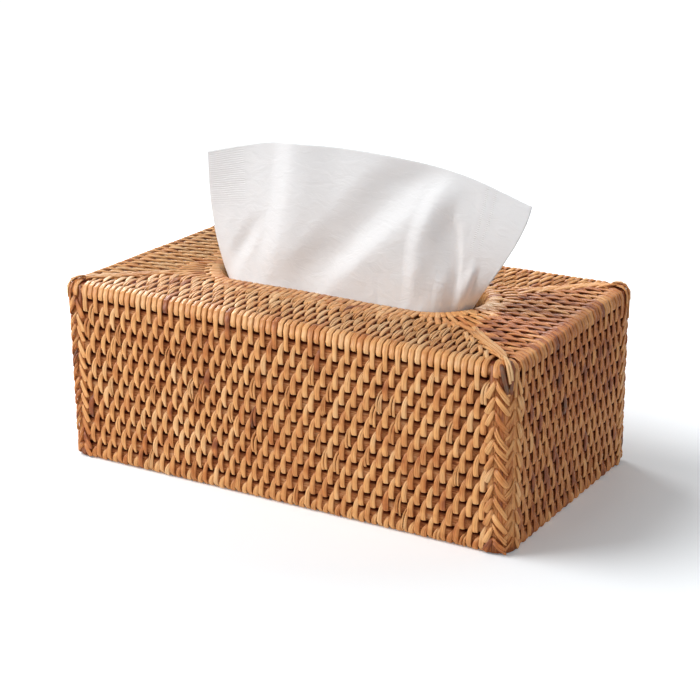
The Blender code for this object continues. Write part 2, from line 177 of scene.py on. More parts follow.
def newMaterial(name, colour):
    material = bpy.data.materials.new(name)
    material.use_nodes = True
    material.diffuse_color = (*colour, 1)
    tree = material.node_tree
    return material, tree, tree.nodes["Principled BSDF"]


def newGroup(name, inputs, outputs):
    tree = bpy.data.node_groups.new(name, "ShaderNodeTree")
    for socketName, kind, value in inputs:
        socket = tree.interface.new_socket(name=socketName, in_out="INPUT", socket_type=kind)
        if value is not None:
            socket.default_value = value
    for socketName, kind in outputs:
        tree.interface.new_socket(name=socketName, in_out="OUTPUT", socket_type=kind)
    start = tree.nodes.new("NodeGroupInput")
    end = tree.nodes.new("NodeGroupOutput")
    return tree, start.outputs, end.inputs


def buildFibreGroup():
    # Fine streaks along a strand or rod, blotches across it, and the mask of both
    floatKind = "NodeSocketFloat"
    tree, given, result = newGroup(
        "fibreGrain",
        [("Along", floatKind, 0.0), ("Across", floatKind, 0.0), ("Seed", floatKind, 0.0),
         ("Streaks", floatKind, 9.0), ("Stretch", floatKind, 1.2)],
        [("Streak", floatKind), ("Blotch", floatKind)])
    across = addMath(tree, "MULTIPLY", given["Across"], given["Streaks"])
    along = addMath(tree, "MULTIPLY", given["Along"], given["Stretch"])
    seed = addMath(tree, "MULTIPLY", given["Seed"], 61.7)
    place = addNode(tree, "ShaderNodeCombineXYZ", {"X": across, "Y": along, "Z": seed})
    tree.links.new(addNoise(tree, place.outputs[0], 1.0, 3.0, 0.6), result["Streak"])
    surface = addNode(tree, "ShaderNodeTexCoord")
    tree.links.new(addNoise(tree, surface.outputs["Object"], 130.0, 2.0, 0.5), result["Blotch"])
    return tree


fibreGroup = buildFibreGroup()

peelLook = {
    "grey": (0.170, 0.090, 0.050),
    "darkest": (0.30, 0.080, 0.022),
    "dark": (0.62, 0.220, 0.058),
    "middle": (0.90, 0.455, 0.165),
    "light": (1.0, 0.690, 0.375),
    "roughness": 0.36,
    "coat": 0.16,
}


def addGrain(tree, **inputs):
    # The tone, streaks and blotches of a strand, the way along it and the distance from its middle
    strandMap = addNode(tree, "ShaderNodeUVMap", uv_map="strand")
    parts = addNode(tree, "ShaderNodeSeparateXYZ", {0: strandMap.outputs[0]})
    across, along = parts.outputs[0], parts.outputs[1]
    tone = addNode(tree, "ShaderNodeAttribute", attribute_name="tone").outputs["Fac"]
    inputs.update(Across=across, Along=along, Seed=tone)
    grain = addNode(tree, "ShaderNodeGroup", inputs, node_tree=fibreGroup)
    away = addMath(tree, "ABSOLUTE", addMath(tree, "SUBTRACT", across, 0.5))
    return tone, grain.outputs["Streak"], grain.outputs["Blotch"], along, away


def buildPeelMaterial(name, look):
    material, tree, shader = newMaterial(name, look["middle"])
    tone, streak, blotch, along, away = addGrain(tree)
    toned = addMath(tree, "ADD", tone, addRange(tree, blotch, 0.3, 0.7, -0.13, 0.13))
    colour = addRamp(tree, toned, [
        (0.0, look["grey"]), (0.12, look["darkest"]), (0.28, look["dark"]), (0.56, look["middle"]),
        (1.0, look["light"])])
    # Painted shade along the edges and at both tucked ends, times the grain's streaks
    shade = addRange(tree, away, 0.34, 0.50, 1.0, 0.68)
    for shadeAndGrainFactor in (addRange(tree, along, 0.02, 0.28, 0.40, 1.0), addRange(tree, along, 0.90, 1.0, 1.0, 0.45),
                 addRange(tree, streak, 0.30, 0.70, 0.42, 1.16)):
        shade = addMath(tree, "MULTIPLY", shade, shadeAndGrainFactor)
    # The painted shade as a colour, nearly black where it is deepest
    paintedShadeAndGrain = addRamp(tree, shade, [
        (0.0, (0.05, 0.012, 0.004)), (0.40, (0.52, 0.34, 0.22)), (0.82, (1, 1, 1))])
    setInputs(tree, shader, {
        "Base Color": addPaintedShade(tree, colour, paintedShadeAndGrain),
        "Roughness": addRange(tree, streak, 0.3, 0.7, look["roughness"] + 0.14, look["roughness"]),
        "Normal": addBump(tree, streak, 0.32 * mm, 0.9),
        "Coat Weight": look["coat"],
        "Coat Roughness": 0.22,
        "Specular IOR Level": 0.3,
    })
    return material


peelMaterial = buildPeelMaterial("rattanPeel", peelLook)

rodLook = {"dark": (0.20, 0.048, 0.014), "middle": (0.58, 0.220, 0.078), "light": (0.84, 0.460, 0.225)}


def buildRodMaterial(name, look):
    material, tree, shader = newMaterial(name, look["middle"])
    _, streak, blotch, _, away = addGrain(tree, Streaks=11.0, Stretch=160.0)
    half = addMath(tree, "MULTIPLY", addMath(tree, "ADD", streak, blotch), 0.5)
    colour = addRamp(tree, half, [(0.36, look["dark"]), (0.50, look["middle"]), (0.64, look["light"])])
    # Painted shade: the rod darkens towards its top and bottom edges, in the gaps between stacked rods
    shade = addRamp(tree, away, [(0.0, (1, 1, 1)), (0.30, (0.92, 0.86, 0.80)), (0.47, (0.22, 0.07, 0.03))])
    setInputs(tree, shader, {
        "Base Color": addPaintedShade(tree, colour, shade),
        "Roughness": 0.7,
        "Specular IOR Level": 0.15,
        "Normal": addBump(tree, streak, 0.35 * mm, 1.0),
    })
    return material


rodMaterial = buildRodMaterial("rattanRod", rodLook)
print("materials built")


# The strand that everything is woven from: one closed strip, bent along a path

strandShape = {
    "section": [(-0.50, -0.55), (-0.33, -0.08), (0.0, 0.0), (0.33, -0.08), (0.50, -0.55), (0.0, -1.0)],
    "steps": 8,
    "thickness": 1.0 * mm,
}


def makeStrandTemplate(shape):
    made = bmesh.new()
    face = made.faces.new([made.verts.new((across, 0, height)) for across, height in shape["section"]])
    for _ in range(shape["steps"]):
        grown = bmesh.ops.extrude_face_region(made, geom=[face])
        face = next(item for item in grown["geom"] if isinstance(item, bmesh.types.BMFace))
        bmesh.ops.translate(made, verts=face.verts[:], vec=(0, 1, 0))
    bmesh.ops.recalc_face_normals(made, faces=made.faces)
    strandMap = made.loops.layers.uv.new("strand")
    for face in made.faces:
        for loop in face.loops:
            loop[strandMap].uv = (loop.vert.co.x + 0.5, loop.vert.co.y / shape["steps"])
    made.verts.layers.float.new("tone")
    made.verts.index_update()
    points = [(round(vertex.co.y), vertex.co.x, vertex.co.z) for vertex in made.verts]
    data = bpy.data.meshes.new("strandTemplate")
    made.to_mesh(data)
    made.free()
    return {"mesh": data, "points": points}


strandTemplate = makeStrandTemplate(strandShape)


def newWeave():
    made = bmesh.new()
    made.loops.layers.uv.new("strand")
    made.verts.layers.float.new("tone")
    return made


def layStrand(made, places, normals, widths, tone, thickness=1):
    # Bends one strand along nine places; a place is on the middle of its outer face
    first = len(made.verts)
    made.from_mesh(strandTemplate["mesh"])
    made.verts.ensure_lookup_table()
    toneLayer = made.verts.layers.float["tone"]
    frames = []
    last = len(places) - 1
    for index, place in enumerate(places):
        tangent = (places[min(index + 1, last)] - places[max(index - 1, 0)]).normalized()
        side = tangent.cross(normals[index]).normalized()
        up = side.cross(tangent).normalized()
        frames.append((place, side * widths[index], up * strandShape["thickness"] * thickness))
    for index, (station, across, height) in enumerate(strandTemplate["points"]):
        place, side, up = frames[station]
        vertex = made.verts[first + index]
        vertex.co = place + side * across + up * height
        vertex[toneLayer] = tone


# The four sides. A strand's way over one is measured down from the crest of the roll: negative on the top

topBoxes = [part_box("top_rod_%d" % number) for number in range(1, 5)]
rimLow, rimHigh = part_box("rim_rod")


def topInsets(axis, half):
    # Where the gaps between the top's rods lie, from the outside in
    edges = [(half - high[axis], low, high) for low, high in topBoxes]
    width = edges[1][0] - edges[0][0]
    first = edges[0][0] - 0.3 * mm
    return [first + width * number for number in range(5)]


# paintedSideShade tones a side's strands darker as painted shade, most on the right side, which is turned
# away from the key light
# topPaintedShade does the same on the side's band of the top; negative values paint light, as on the left and
# front bands
sides = {
    "front": {"outward": Vector((0, -1, 0)), "distance": halfWidth, "halfSpan": halfLength, "tuck": 1,
              "columns": 68, "drift": -0.20, "insets": topInsets(1, halfWidth), "paintedSideShade": 0.02,
              "topPaintedShade": -0.16},
    "right": {"outward": Vector((1, 0, 0)), "distance": halfLength, "halfSpan": halfWidth, "tuck": -1,
              "columns": 35, "drift": 0.0, "insets": topInsets(0, halfLength), "paintedSideShade": 0.20,
              "topPaintedShade": 0.03},
    "back": {"outward": Vector((0, 1, 0)), "distance": halfWidth, "halfSpan": halfLength, "tuck": 1,
             "columns": 68, "drift": 0.0, "insets": topInsets(1, halfWidth), "paintedSideShade": 0.03,
             "topPaintedShade": -0.06},
    "left": {"outward": Vector((-1, 0, 0)), "distance": halfLength, "halfSpan": halfWidth, "tuck": -1,
             "columns": 35, "drift": 0.15, "insets": topInsets(0, halfLength), "paintedSideShade": 0.0,
             "topPaintedShade": -0.20},
}
sideMargin = 12.2 * mm


def sideProfile(down):
    # Inset, height, and the way that the surface looks, as (inset, height)
    base = cover["baseRadius"]
    flatEnd = rollArc + coverHeight - rollRadius - base
    baseArc = base * math.pi / 2
    if down < 0:
        return rollRadius - down, coverHeight, 0, 1
    if down < rollArc:
        angle = down / rollRadius
        sine, cosine = math.sin(angle), math.cos(angle)
        return rollRadius * (1 - sine), coverHeight - rollRadius * (1 - cosine), -sine, cosine
    if down < flatEnd:
        return 0, coverHeight - rollRadius - (down - rollArc), -1, 0
    if down < flatEnd + baseArc:
        angle = (down - flatEnd) / base
        sine, cosine = math.sin(angle), math.cos(angle)
        return base * (1 - cosine), base * (1 - sine), -cosine, -sine
    return base + (down - flatEnd - baseArc), 0, 0, -1


def sidePlace(side, along, down, out):
    inset, height, insetNormal, heightNormal = sideProfile(down)
    outward = side["outward"]
    sideways = Vector((-outward.y, outward.x, 0))
    along += side["drift"] * max(inset - side["insets"][0], 0)
    normal = outward * -insetNormal + Vector((0, 0, heightNormal))
    place = outward * (side["distance"] - inset) + sideways * along + Vector((0, 0, height)) + normal * out
    return place, normal


def downAt(height):
    return rollArc + coverHeight - rollRadius - height


def mitreInset(side, along):
    # The furthest inset on the top before the diagonal towards a corner
    run = side["insets"][-1] - side["insets"][0]
    other = sides["right" if side["outward"].y else "front"]["insets"]
    room = side["halfSpan"] - other[0] - abs(along)
    return side["insets"][0] + room * run / (other[-1] - other[0])


floatShape = {
    "stations": (0.0, 0.08, 0.17, 0.28, 0.46, 0.68, 0.87, 0.955, 1.0),
    "widthShares": (0.36, 0.50, 0.63, 0.74, 0.88, 1.0, 1.0, 0.96, 0.84),
    "width": 3.65 * mm,
    "liftShares": (-1.0, -0.62, -0.16, 0.08, 0.16, 0.14, 0.02, -0.16, -0.95),
    "lift": 1.2 * mm,
    "tuckShares": (1.0, 0.82, 0.58, 0.34, 0.12, 0.0, 0.0, 0.03, 0.06),
    "tuck": 3.1 * mm,
    "tipDrop": 0.6 * mm,      # of a tip past its line
    "endRise": 0.25 * mm,     # of a square end before its line
    "split": 0.12,            # the share of strands that have split lengthwise
}
baseShape = dict(floatShape, liftShares=(-1.0, -0.62, -0.16, 0.02, 0.04, 0.0, -0.08, -0.12, -0.3),
                 widthShares=(0.36, 0.50, 0.63, 0.76, 0.88, 0.95, 0.97, 0.97, 0.97))
topShape = dict(floatShape, width=3.1 * mm, tuck=2.4 * mm, lift=1.5 * mm, split=0.7, tipDrop=-0.9 * mm,
                endRise=-0.7 * mm, tuckShares=(1.0, 0.82, 0.58, 0.34, 0.10, -0.06, -0.14, -0.20, -0.24),
                widthShares=(0.26, 0.42, 0.60, 0.78, 0.96, 1.0, 0.84, 0.64, 0.42),
                liftShares=(-1.0, -0.55, -0.05, 0.24, 0.40, 0.30, 0.04, -0.36, -1.0))
rollShape = {
    "width": 3.5 * mm,
    "stations": (0.0, 0.07, 0.18, 0.34, 0.50, 0.66, 0.87, 0.96, 1.0),
    "tuckShares": (0.8, 0.45, 0.12, 0.0, 0.0, 0.0, 0.0, 0.0, 0.0),
    "tuck": 2.2 * mm,
}


def layFloat(made, placer, along, start, end, tuckSide, rng, tone, shape=floatShape, point=0):
    # A float from one line to the next but one; its tip is tucked behind its neighbour. Its end is square, or
    # with point at 1 it leans over to the tucked side and comes to a point
    shiftStart = rng.uniform(-0.16, 0.16) * mm
    shiftEnd = rng.uniform(-0.16, 0.16) * mm
    width = shape["width"] * rng.uniform(0.88, 1.05) * (1 + 0.1 * point)
    lift = rng.uniform(-0.10, 0.14) * mm
    start += shape["tipDrop"] + rng.uniform(-0.2, 0.3) * mm
    end -= shape["endRise"] + rng.uniform(-0.15, 0.2) * mm
    parts = 1
    if rng.random() < shape["split"]:
        parts = rng.choice((2, 2, 3))
    for part in range(parts):
        aside = (part - (parts - 1) / 2) / parts
        slip = rng.uniform(-0.35, 0.35) * mm if parts > 1 else 0
        stretch = rng.uniform(-0.9, 0.9) * mm if parts > 1 else 0
        places = []
        normals = []
        widths = []
        for index, station in enumerate(shape["stations"]):
            pointed = point * ease((station - 0.55) / 0.45)
            wide = width * shape["widthShares"][index] * (1 - 0.62 * pointed)
            across = along + mix(shiftStart, shiftEnd, station) + wide * aside + slip * station
            across += tuckSide * (shape["tuck"] * shape["tuckShares"][index] + 1.0 * mm * pointed)
            out = shape["lift"] * shape["liftShares"][index] + lift + abs(aside) * slip
            place, normal = placer(across, mix(start + stretch, end + stretch, station), out)
            places.append(place)
            normals.append(normal)
            widths.append(wide / parts)
        layStrand(made, places, normals, widths, min(max(tone + slip * 150, 0.02), 1))


def layRoll(made, placer, along, start, end, tuckSide, rng, tone):
    # A float over the edge rod, wider than the rest
    width = rollShape["width"] * rng.uniform(0.95, 1.02)
    places = []
    normals = []
    widths = []
    for index, station in enumerate(rollShape["stations"]):
        down = mix(start + 0.6 * mm, end - 0.35 * mm, station)
        out = 0.12 * mm * waver(along * 900, station, 2)
        if index == 0 or index == 8:
            out = -1.2 * mm
        if index == 1 or index == 7:
            out = -0.15 * mm
        across = along + tuckSide * rollShape["tuck"] * rollShape["tuckShares"][index]
        place, normal = placer(across, down, out)
        places.append(place)
        normals.append(normal)
        flat = max(ease((-down) / (4 * mm)), ease((down - rollArc) / (3 * mm)))
        widths.append(width * mix(1, 0.84, flat) * mix(1, 0.7, rollShape["tuckShares"][index]))
    layStrand(made, places, normals, widths, tone)


def pickTone(rng, place, base=0.5):
    # Most strands are honey, some are pale and a few are dark
    tone = base + 0.12 * noise.noise(place * 18) + rng.gauss(0, 0.08)
    if rng.random() < 0.04:
        tone -= rng.uniform(0.15, 0.35)
    return min(max(tone, 0.14), 0.98)


def weaveSide(name, side, rng):
    walls = newWeave()
    top = newWeave()
    inner = newWeave()
    lines = [rollRadius - inset for inset in reversed(side["insets"])]
    lines += [downAt(height) for height in wallLines]
    baseEnd = downAt(cover["baseRadius"]) + cover["baseRadius"] * math.pi / 2 + 2 * mm
    lines.append(baseEnd)
    topCount = len(side["insets"])
    count = side["columns"]
    pitch = (side["halfSpan"] * 2 - sideMargin * 2) / count

    def placer(along, down, out):
        return sidePlace(side, along, down, out)

    for column in range(count):
        along = -side["halfSpan"] + sideMargin + pitch * (column + 0.5)
        for line in range(-(column % 2), len(lines) - 1, 2):
            isTop = line + 2 < topCount
            start = lines[max(line, 0)] if line >= 0 else lines[0] - 4 * mm
            end = lines[min(line + 2, len(lines) - 1)]
            if start < 0:
                # On the top a strand stops at the diagonal
                furthest = rollRadius - mitreInset(side, along) - 1.0 * mm
                start = max(start, furthest)
                if end - start < 3.2 * mm:
                    continue
            place, _ = placer(along, (start + end) / 2, 0)
            # Painted shade: each side's strands are toned darker by the side's share
            tone = pickTone(rng, place, 0.54 - side["paintedSideShade"])
            if isTop:
                # Painted light and shade on the top's band: lighter on the left and front, darker on the
                # right
                tone = min(max(tone - side["topPaintedShade"], 0.14), 0.98)
                layFloat(top, placer, along, start, end, side["tuck"], rng, tone, topShape)
            elif line < topCount:
                layRoll(walls, placer, along, start, end, side["tuck"], rng, tone + 0.02)
            else:
                shape = floatShape if line + 2 < len(lines) - 1 else baseShape
                point = ease((0.2 - along / side["halfSpan"]) / 0.6) if name == "front" else 0.5
                if shape is baseShape:
                    point = 0
                layFloat(walls, placer, along, start, end, side["tuck"], rng, tone, shape, point)
        layInner(inner, side, along, rng)
    finishPiece(walls, name + "Strands", "cover", peelMaterial, [name + "_weave"])
    finishPiece(top, name + "TopStrands", "cover", peelMaterial, ["top_" + name + "_weave"])
    finishPiece(inner, name + "InnerStrands", "cover", peelMaterial)


def layInner(made, side, along, rng):
    # The same strands seen from inside: one run up the wall's inside and one under the top
    outward = side["outward"]
    sideways = Vector((-outward.y, outward.x, 0))
    deep = cover["wallDepth"] - 0.1 * mm
    runs = []
    if abs(along) < side["halfSpan"] - 13 * mm:
        runs.append([(deep, mix(1.5 * mm, coverHeight - 8 * mm, station / 8), 1, 0) for station in range(9)])
    furthest = min(mitreInset(side, along) - 1 * mm, side["insets"][-1] + 1 * mm)
    if furthest > 14 * mm:
        low = coverHeight - 6.9 * mm
        runs.append([(mix(furthest, 8.5 * mm, station / 8), low, 0, -1) for station in range(9)])
    for run in runs:
        tone = min(max(rng.gauss(0.42, 0.12), 0.02), 0.95)
        places = []
        normals = []
        for station, (inset, height, insetNormal, heightNormal) in enumerate(run):
            normal = outward * -insetNormal + Vector((0, 0, heightNormal))
            ripple = 0.35 * mm * math.sin(station * 2.4 + along * 700)
            place = outward * (side["distance"] - inset) + sideways * along + Vector((0, 0, height))
            places.append(place + normal * (ripple - 0.35 * mm))
            normals.append(normal)
        layStrand(made, places, normals, [3.0 * mm] * 9, tone)


for sideName, side in sides.items():
    weaveSide(sideName, side, random.Random(len(sideName) * 31 + ord(sideName[0])))
print("sides woven")


# Corners: chevrons of strands, one pair for each half course

cornerSigns = {"front_right": (1, -1, -45), "back_right": (1, 1, 45), "back_left": (-1, 1, 135),
               "front_left": (-1, -1, 225)}
corner = {
    "reach": 6.4 * mm,        # of an arm along each wall, from the middle of the corner
    "drop": 11.6 * mm,        # of an arm from its outer end to its inner end
    "width": 3.1 * mm,
    "endArmShare": 0.78,      # of an arm on the cover's end, beside one on its long side
    "slantFrom": 6.0 * mm,    # the slanting strands beside the chevrons, from the corner's middle
    "slantTo": 10.4 * mm,
    "slantDrop": 10.2 * mm,
    # Strands over the rounded top: run, share of the roll and mm where it starts, mm past the fold where it
    # ends, lift, width, slant and tone, where no tone is weathered grey
    "over": ((5.8, 0, -2, -5, 0.0, 3.4, 0, 0.44),
             (3.0, 0, -1, -6, 0.2, 3.0, 0, 0.36),
             (-5.4, 0, -2, -3, 0.2, 3.4, 0, 0.50),
             (1.8, 0.35, 0, 3, 0.9, 2.3, -3.4, None),
             (-1.9, 0.15, 0, 3, 1.0, 2.1, 1.6, None),
             (-3.7, 0.7, 0, 5, 0.9, 1.7, 0, 0.62),
             (0.4, 0, -3, -2.5, 1.5, 1.5, -2.0, 0.72),
             (-0.9, 0, -4, -4, 1.6, 1.5, -1.2, 0.84)),
}


def cornerPlace(name, run, height, out):
    # Round a corner at a height; run is measured from the middle of its curve
    signX, signY, middle = cornerSigns[name]
    radius = cover["cornerRadius"]
    centre = Vector((signX * (halfLength - radius), signY * (halfWidth - radius), height))
    half = radius * math.pi / 4
    turn = math.radians(middle) + min(max(run, -half), half) / radius
    normal = Vector((math.cos(turn), math.sin(turn), 0))
    beyond = max(run - half, 0) + min(run + half, 0)
    along = Vector((-normal.y, normal.x, 0))
    # Over the roll the wall leans in
    crest = coverHeight - rollRadius
    if height > crest:
        lean = min((height - crest) / rollRadius, 1)
        inward = rollRadius * (1 - math.sqrt(max(1 - lean * lean, 0)))
        tilt = math.asin(lean)
        outward = normal
        normal = outward * math.cos(tilt) + Vector((0, 0, math.sin(tilt)))
        return centre + outward * (radius - inward) + along * beyond + normal * out, normal
    return centre + normal * (radius + out) + along * beyond, normal


def onLongSide(name, side):
    # Whether a run to this side of the corner's middle lies on the front or the back
    signX, signY, _ = cornerSigns[name]
    return side == signX * signY


def layArm(made, name, side, top, rng, tone):
    # One arm of a chevron, from its outer end down to the corner's middle
    share = 1 if onLongSide(name, side) else corner["endArmShare"]
    reach = corner["reach"] * rng.uniform(0.86, 1.10) * share
    drop = min(corner["drop"] * rng.uniform(0.86, 1.10) * share, top - 1.2 * mm)
    width = corner["width"] * rng.uniform(0.80, 1.10) * share
    if drop < 4 * mm:
        return
    over = 0.5 * mm if onLongSide(name, side) else 0
    bow = rng.uniform(-0.3, 0.8) * mm
    parts = rng.choice((1, 2, 2))
    for part in range(parts):
        aside = (part - (parts - 1) / 2) / parts * width * 1.15
        slip = rng.uniform(-0.8, 0.8) * mm * (parts - 1)
        places = []
        normals = []
        widths = []
        for index, station in enumerate(floatShape["stations"]):
            run = side * (mix(reach + slip, -1.0 * mm, station) + bow * math.sin(station * math.pi))
            height = top - drop * station + aside
            lift = (-1.1, -0.45, 0.0, 0.40, 0.65, 0.70, 0.50, 0.0, -1.1)[index] * mm
            place, normal = cornerPlace(name, run, max(height, 0.6 * mm), lift + over)
            places.append(place)
            normals.append(normal)
            widths.append(width / parts * (0.70, 0.85, 0.96, 1.0, 1.0, 1.0, 0.9, 0.7, 0.4)[index])
        layStrand(made, places, normals, widths, min(max(tone + slip * 90, 0.02), 1))


def laySlant(made, name, side, top, rng, tone):
    # A strand that leans out from the chevrons down to the wall's weave
    places = []
    normals = []
    widths = []
    width = rng.uniform(2.9, 3.6) * mm
    length = min(corner["slantDrop"] * rng.uniform(0.9, 1.1), top - 0.8 * mm)
    if length < 4 * mm:
        return
    for index, station in enumerate(floatShape["stations"]):
        run = side * mix(corner["slantFrom"], corner["slantTo"], station ** 1.2)
        height = top - length * station
        lift = floatShape["liftShares"][index] * 1.1 * mm
        place, normal = cornerPlace(name, run, max(height, 0.4 * mm), lift + 0.3 * mm)
        places.append(place)
        normals.append(normal)
        widths.append(width * floatShape["widthShares"][index])
    layStrand(made, places, normals, widths, tone)


def cornerOver(name, run, along, out):
    # Over the top of a corner: negative along is on the top, then over the roll and down
    signX, signY, middle = cornerSigns[name]
    radius = cover["cornerRadius"]
    centre = Vector((signX * (halfLength - radius), signY * (halfWidth - radius), 0))
    turn = math.radians(middle) + run / radius
    outward = Vector((math.cos(turn), math.sin(turn), 0))
    inset, height, insetNormal, heightNormal = sideProfile(along)
    normal = outward * -insetNormal + Vector((0, 0, heightNormal))
    return centre + outward * (radius - inset) + Vector((0, 0, height)) + normal * out, normal


def layOver(made, name, run, start, end, lift, width, tone, slant):
    places = []
    normals = []
    widths = []
    for index, station in enumerate(floatShape["stations"]):
        out = lift + (-1.0 * mm if index in (0, 8) else 0)
        place, normal = cornerOver(name, run + slant * (station - 0.5), mix(start, end, station), out)
        places.append(place)
        normals.append(normal)
        widths.append(width * (0.7, 0.85, 0.95, 1.0, 1.0, 1.0, 0.95, 0.85, 0.7)[index])
    layStrand(made, places, normals, widths, tone)


def weaveCorner(name, rng):
    made = newWeave()
    coursePitch = (wallLines[0] - wallLines[-1]) / (len(wallLines) - 1)
    # Upright strands under the chevrons close the gaps among them
    for number in range(-3, 4):
        places = []
        normals = []
        for station in range(9):
            height = mix(coverHeight - 2 * mm, 0.8 * mm, station / 8)
            place, normal = cornerPlace(name, number * 2.7 * mm, height, -0.5 * mm)
            places.append(place)
            normals.append(normal)
        layStrand(made, places, normals, [2.9 * mm] * 9, pickTone(rng, places[4], 0.36))
    # From the bottom up, so that each arm's foot lies over the one below
    for line in reversed([wallLines[0] + 1 * mm] + wallLines + [wallLines[-1] - coursePitch]):
        for side in (-1, 1):
            place, _ = cornerPlace(name, 0, line, 0)
            tone = pickTone(rng, place, 0.43)
            layArm(made, name, side, line + rng.uniform(-0.8, 0.8) * mm + side * 0.5 * mm, rng, tone)
    for line in wallLines + [wallLines[-1] - coursePitch]:
        for side in (-1, 1):
            place, _ = cornerPlace(name, side * corner["slantTo"], line, 0)
            laySlant(made, name, side, line + rng.uniform(-0.5, 1.5) * mm, rng, pickTone(rng, place, 0.52))
    down = rollArc + 8 * mm
    front = cornerSigns[name][0] * cornerSigns[name][1]
    grey = 0.06 if name == "front_right" else 0.34
    for run, rollShare, start, end, lift, width, slant, tone in corner["over"]:
        layOver(made, name, front * run * mm, rollArc * rollShare + start * mm, down + end * mm, lift * mm,
                width * mm, grey if tone is None else tone, front * slant * mm)
    finishPiece(made, "cornerStrands_" + name, "cover", peelMaterial,
                ["corner_braid_" + name])


for cornerName in cornerSigns:
    weaveCorner(cornerName, random.Random(ord(cornerName[0]) * 7 + len(cornerName)))
print("corners woven")


# Mitres: the strands along each diagonal of the top

mitre = {
    "width": 3.4 * mm, "length": 15 * mm, "step": 4.0 * mm,
    "stubs": ((39.0, 30.5), (33.4, 25.6), (24.5, 16.6), (18.8, 11.5)),    # mm in from the right front corner
    "stubLength": 8.0 * mm,
}


def mitrePlace(name, along, across, out):
    # Along a diagonal from its outer end, and across it
    signX, signY, _ = cornerSigns[name]
    start = Vector((signX * (halfLength - sides["right"]["insets"][0]),
                    signY * (halfWidth - sides["front"]["insets"][0]), coverHeight))
    end = Vector((signX * (halfLength - sides["right"]["insets"][-1]),
                  signY * (halfWidth - sides["front"]["insets"][-1]), coverHeight))
    way = (end - start).normalized()
    sideways = Vector((-way.y, way.x, 0))
    return start + way * along + sideways * across + Vector((0, 0, out)), (end - start).length


def weaveMitre(name, rng):
    made = newWeave()
    _, length = mitrePlace(name, 0, 0, 0)
    up = [Vector((0, 0, 1))] * 9
    broad = name == "front_right"
    start = -5 * mm
    side = 1
    while start < length - 4 * mm:
        places = []
        widths = []
        wide = mitre["width"] * rng.uniform(0.85, 1.1)
        run = mitre["length"] * rng.uniform(0.9, 1.15)
        for index, station in enumerate(floatShape["stations"]):
            spread = side * mix(3.6, 0.2, ease(station)) * mm
            if broad:
                spread *= 0.75
            out = (-1.1, -0.3, 0.3, 0.6, 0.8, 0.8, 0.6, 0.2, -1.1)[index] * mm
            # Over the roll at the outer end
            reach = start + run * (1 - station)
            if reach < -2 * mm:
                out -= min((-2 * mm - reach) ** 2 * 60, 5 * mm)
            place, _ = mitrePlace(name, reach, spread, out)
            places.append(place)
            widths.append(wide * (0.55, 0.7, 0.85, 0.95, 1, 1, 0.95, 0.9, 0.7)[index])
        layStrand(made, places, up, widths, pickTone(rng, places[4], 0.56))
        side = -side
        start += mitre["step"] * rng.uniform(0.85, 1.15)
    if broad:
        # One flat strand that has split lengthwise lies over the seam here, with short ends in front of it
        for split in range(5):
            places = []
            widths = []
            far = length + rng.uniform(-2.5, 2.5) * mm
            near = rng.uniform(-9.0, -4.5) * mm
            for station in range(9):
                reach = mix(far, near, station / 8)
                out = (1.4 + 0.2 * (split % 2)) * mm - (1.8 * mm if station in (0, 8) else 0)
                if reach < -1 * mm:
                    out -= min((-1 * mm - reach) ** 2 * 75, 6 * mm)
                spread = (split - 2) * mix(1.22, 0.85, station / 8) * mm
                place, _ = mitrePlace(name, reach, 0.7 * mm * math.sin(station * 0.8) + spread, out)
                places.append(place)
                widths.append((0.8, 1.05, 1.15, 1.2, 1.2, 1.15, 1.1, 1.0, 0.7)[station] * mm)
            layStrand(made, places, up, widths, rng.uniform(0.48, 0.86), 0.8)
        for inX, inY in mitre["stubs"]:
            start = Vector((halfLength - inX * mm, inY * mm - halfWidth, coverHeight))
            places = []
            for station in range(9):
                place = start + Vector((0.52, -0.85, 0)) * mitre["stubLength"] * station / 8
                place.z += (-0.4, 1.1, 1.4, 1.4, 1.3, 1.1, 0.8, 0.2, -1.0)[station] * mm
                places.append(place)
            layStrand(made, places, up, [2.3 * mm] * 7 + [2.0 * mm, 1.5 * mm], rng.uniform(0.58, 0.80))
    finishPiece(made, "mitreStrands_" + name, "cover", peelMaterial, ["mitre_braid_" + name])


for cornerName in cornerSigns:
    weaveMitre(cornerName, random.Random(ord(cornerName[0]) * 5 + len(cornerName)))
print("mitres woven")


# Round the opening: wraps over the rim rod, and a fan between them and the straight rows

rimRollRadius = (rimHigh.z - rimLow.z) / 2 + skinStep
rimCentreX = (rimHigh.x - rimLow.x) / 2 - (rimHigh.y - rimLow.y) / 2
openingRadius = rimHigh.y - (rimHigh.z - rimLow.z) - skinStep
rim = {
    "straightWraps": 32,
    "endWraps": 29,
    "down": 6.0 * mm,         # of a wrap inside the opening, under the rim's middle
    "reach": 12.4 * mm,       # of the longer wraps' outer ends, from the clear opening
    "shortReach": 9.2 * mm,
}


opening = {
    # How far the handmade edge strays outwards from a true oval: direction, spread and distance
    "frontLeft": (200, 70, -8.0 * mm),
    "frontRight": (300, 75, -6.5 * mm),
}


def openingStray(centreX, outward):
    direction = math.degrees(math.atan2(outward.y, outward.x))
    ends = []
    for key in ("frontLeft", "frontRight"):
        middle, spread, distance = opening[key]
        between = (direction - middle + 180) % 360 - 180
        ends.append(distance * math.exp(-(between / spread) ** 2))
    part = min(max((centreX + rimCentreX) / (2 * rimCentreX), 0), 1)
    return mix(ends[0], ends[1], part)


def rimProfile(run):
    # Distance from the opening's clear edge, and height, along a wrap: negative down inside
    if run < 0:
        return 0, coverHeight - rimRollRadius + run, -1, 0
    arcLength = rimRollRadius * math.pi / 2
    if run < arcLength:
        angle = run / rimRollRadius
        return (rimRollRadius * (1 - math.cos(angle)), coverHeight - rimRollRadius * (1 - math.sin(angle)),
                -math.cos(angle), math.sin(angle))
    return rimRollRadius + run - arcLength, coverHeight, 0, 1


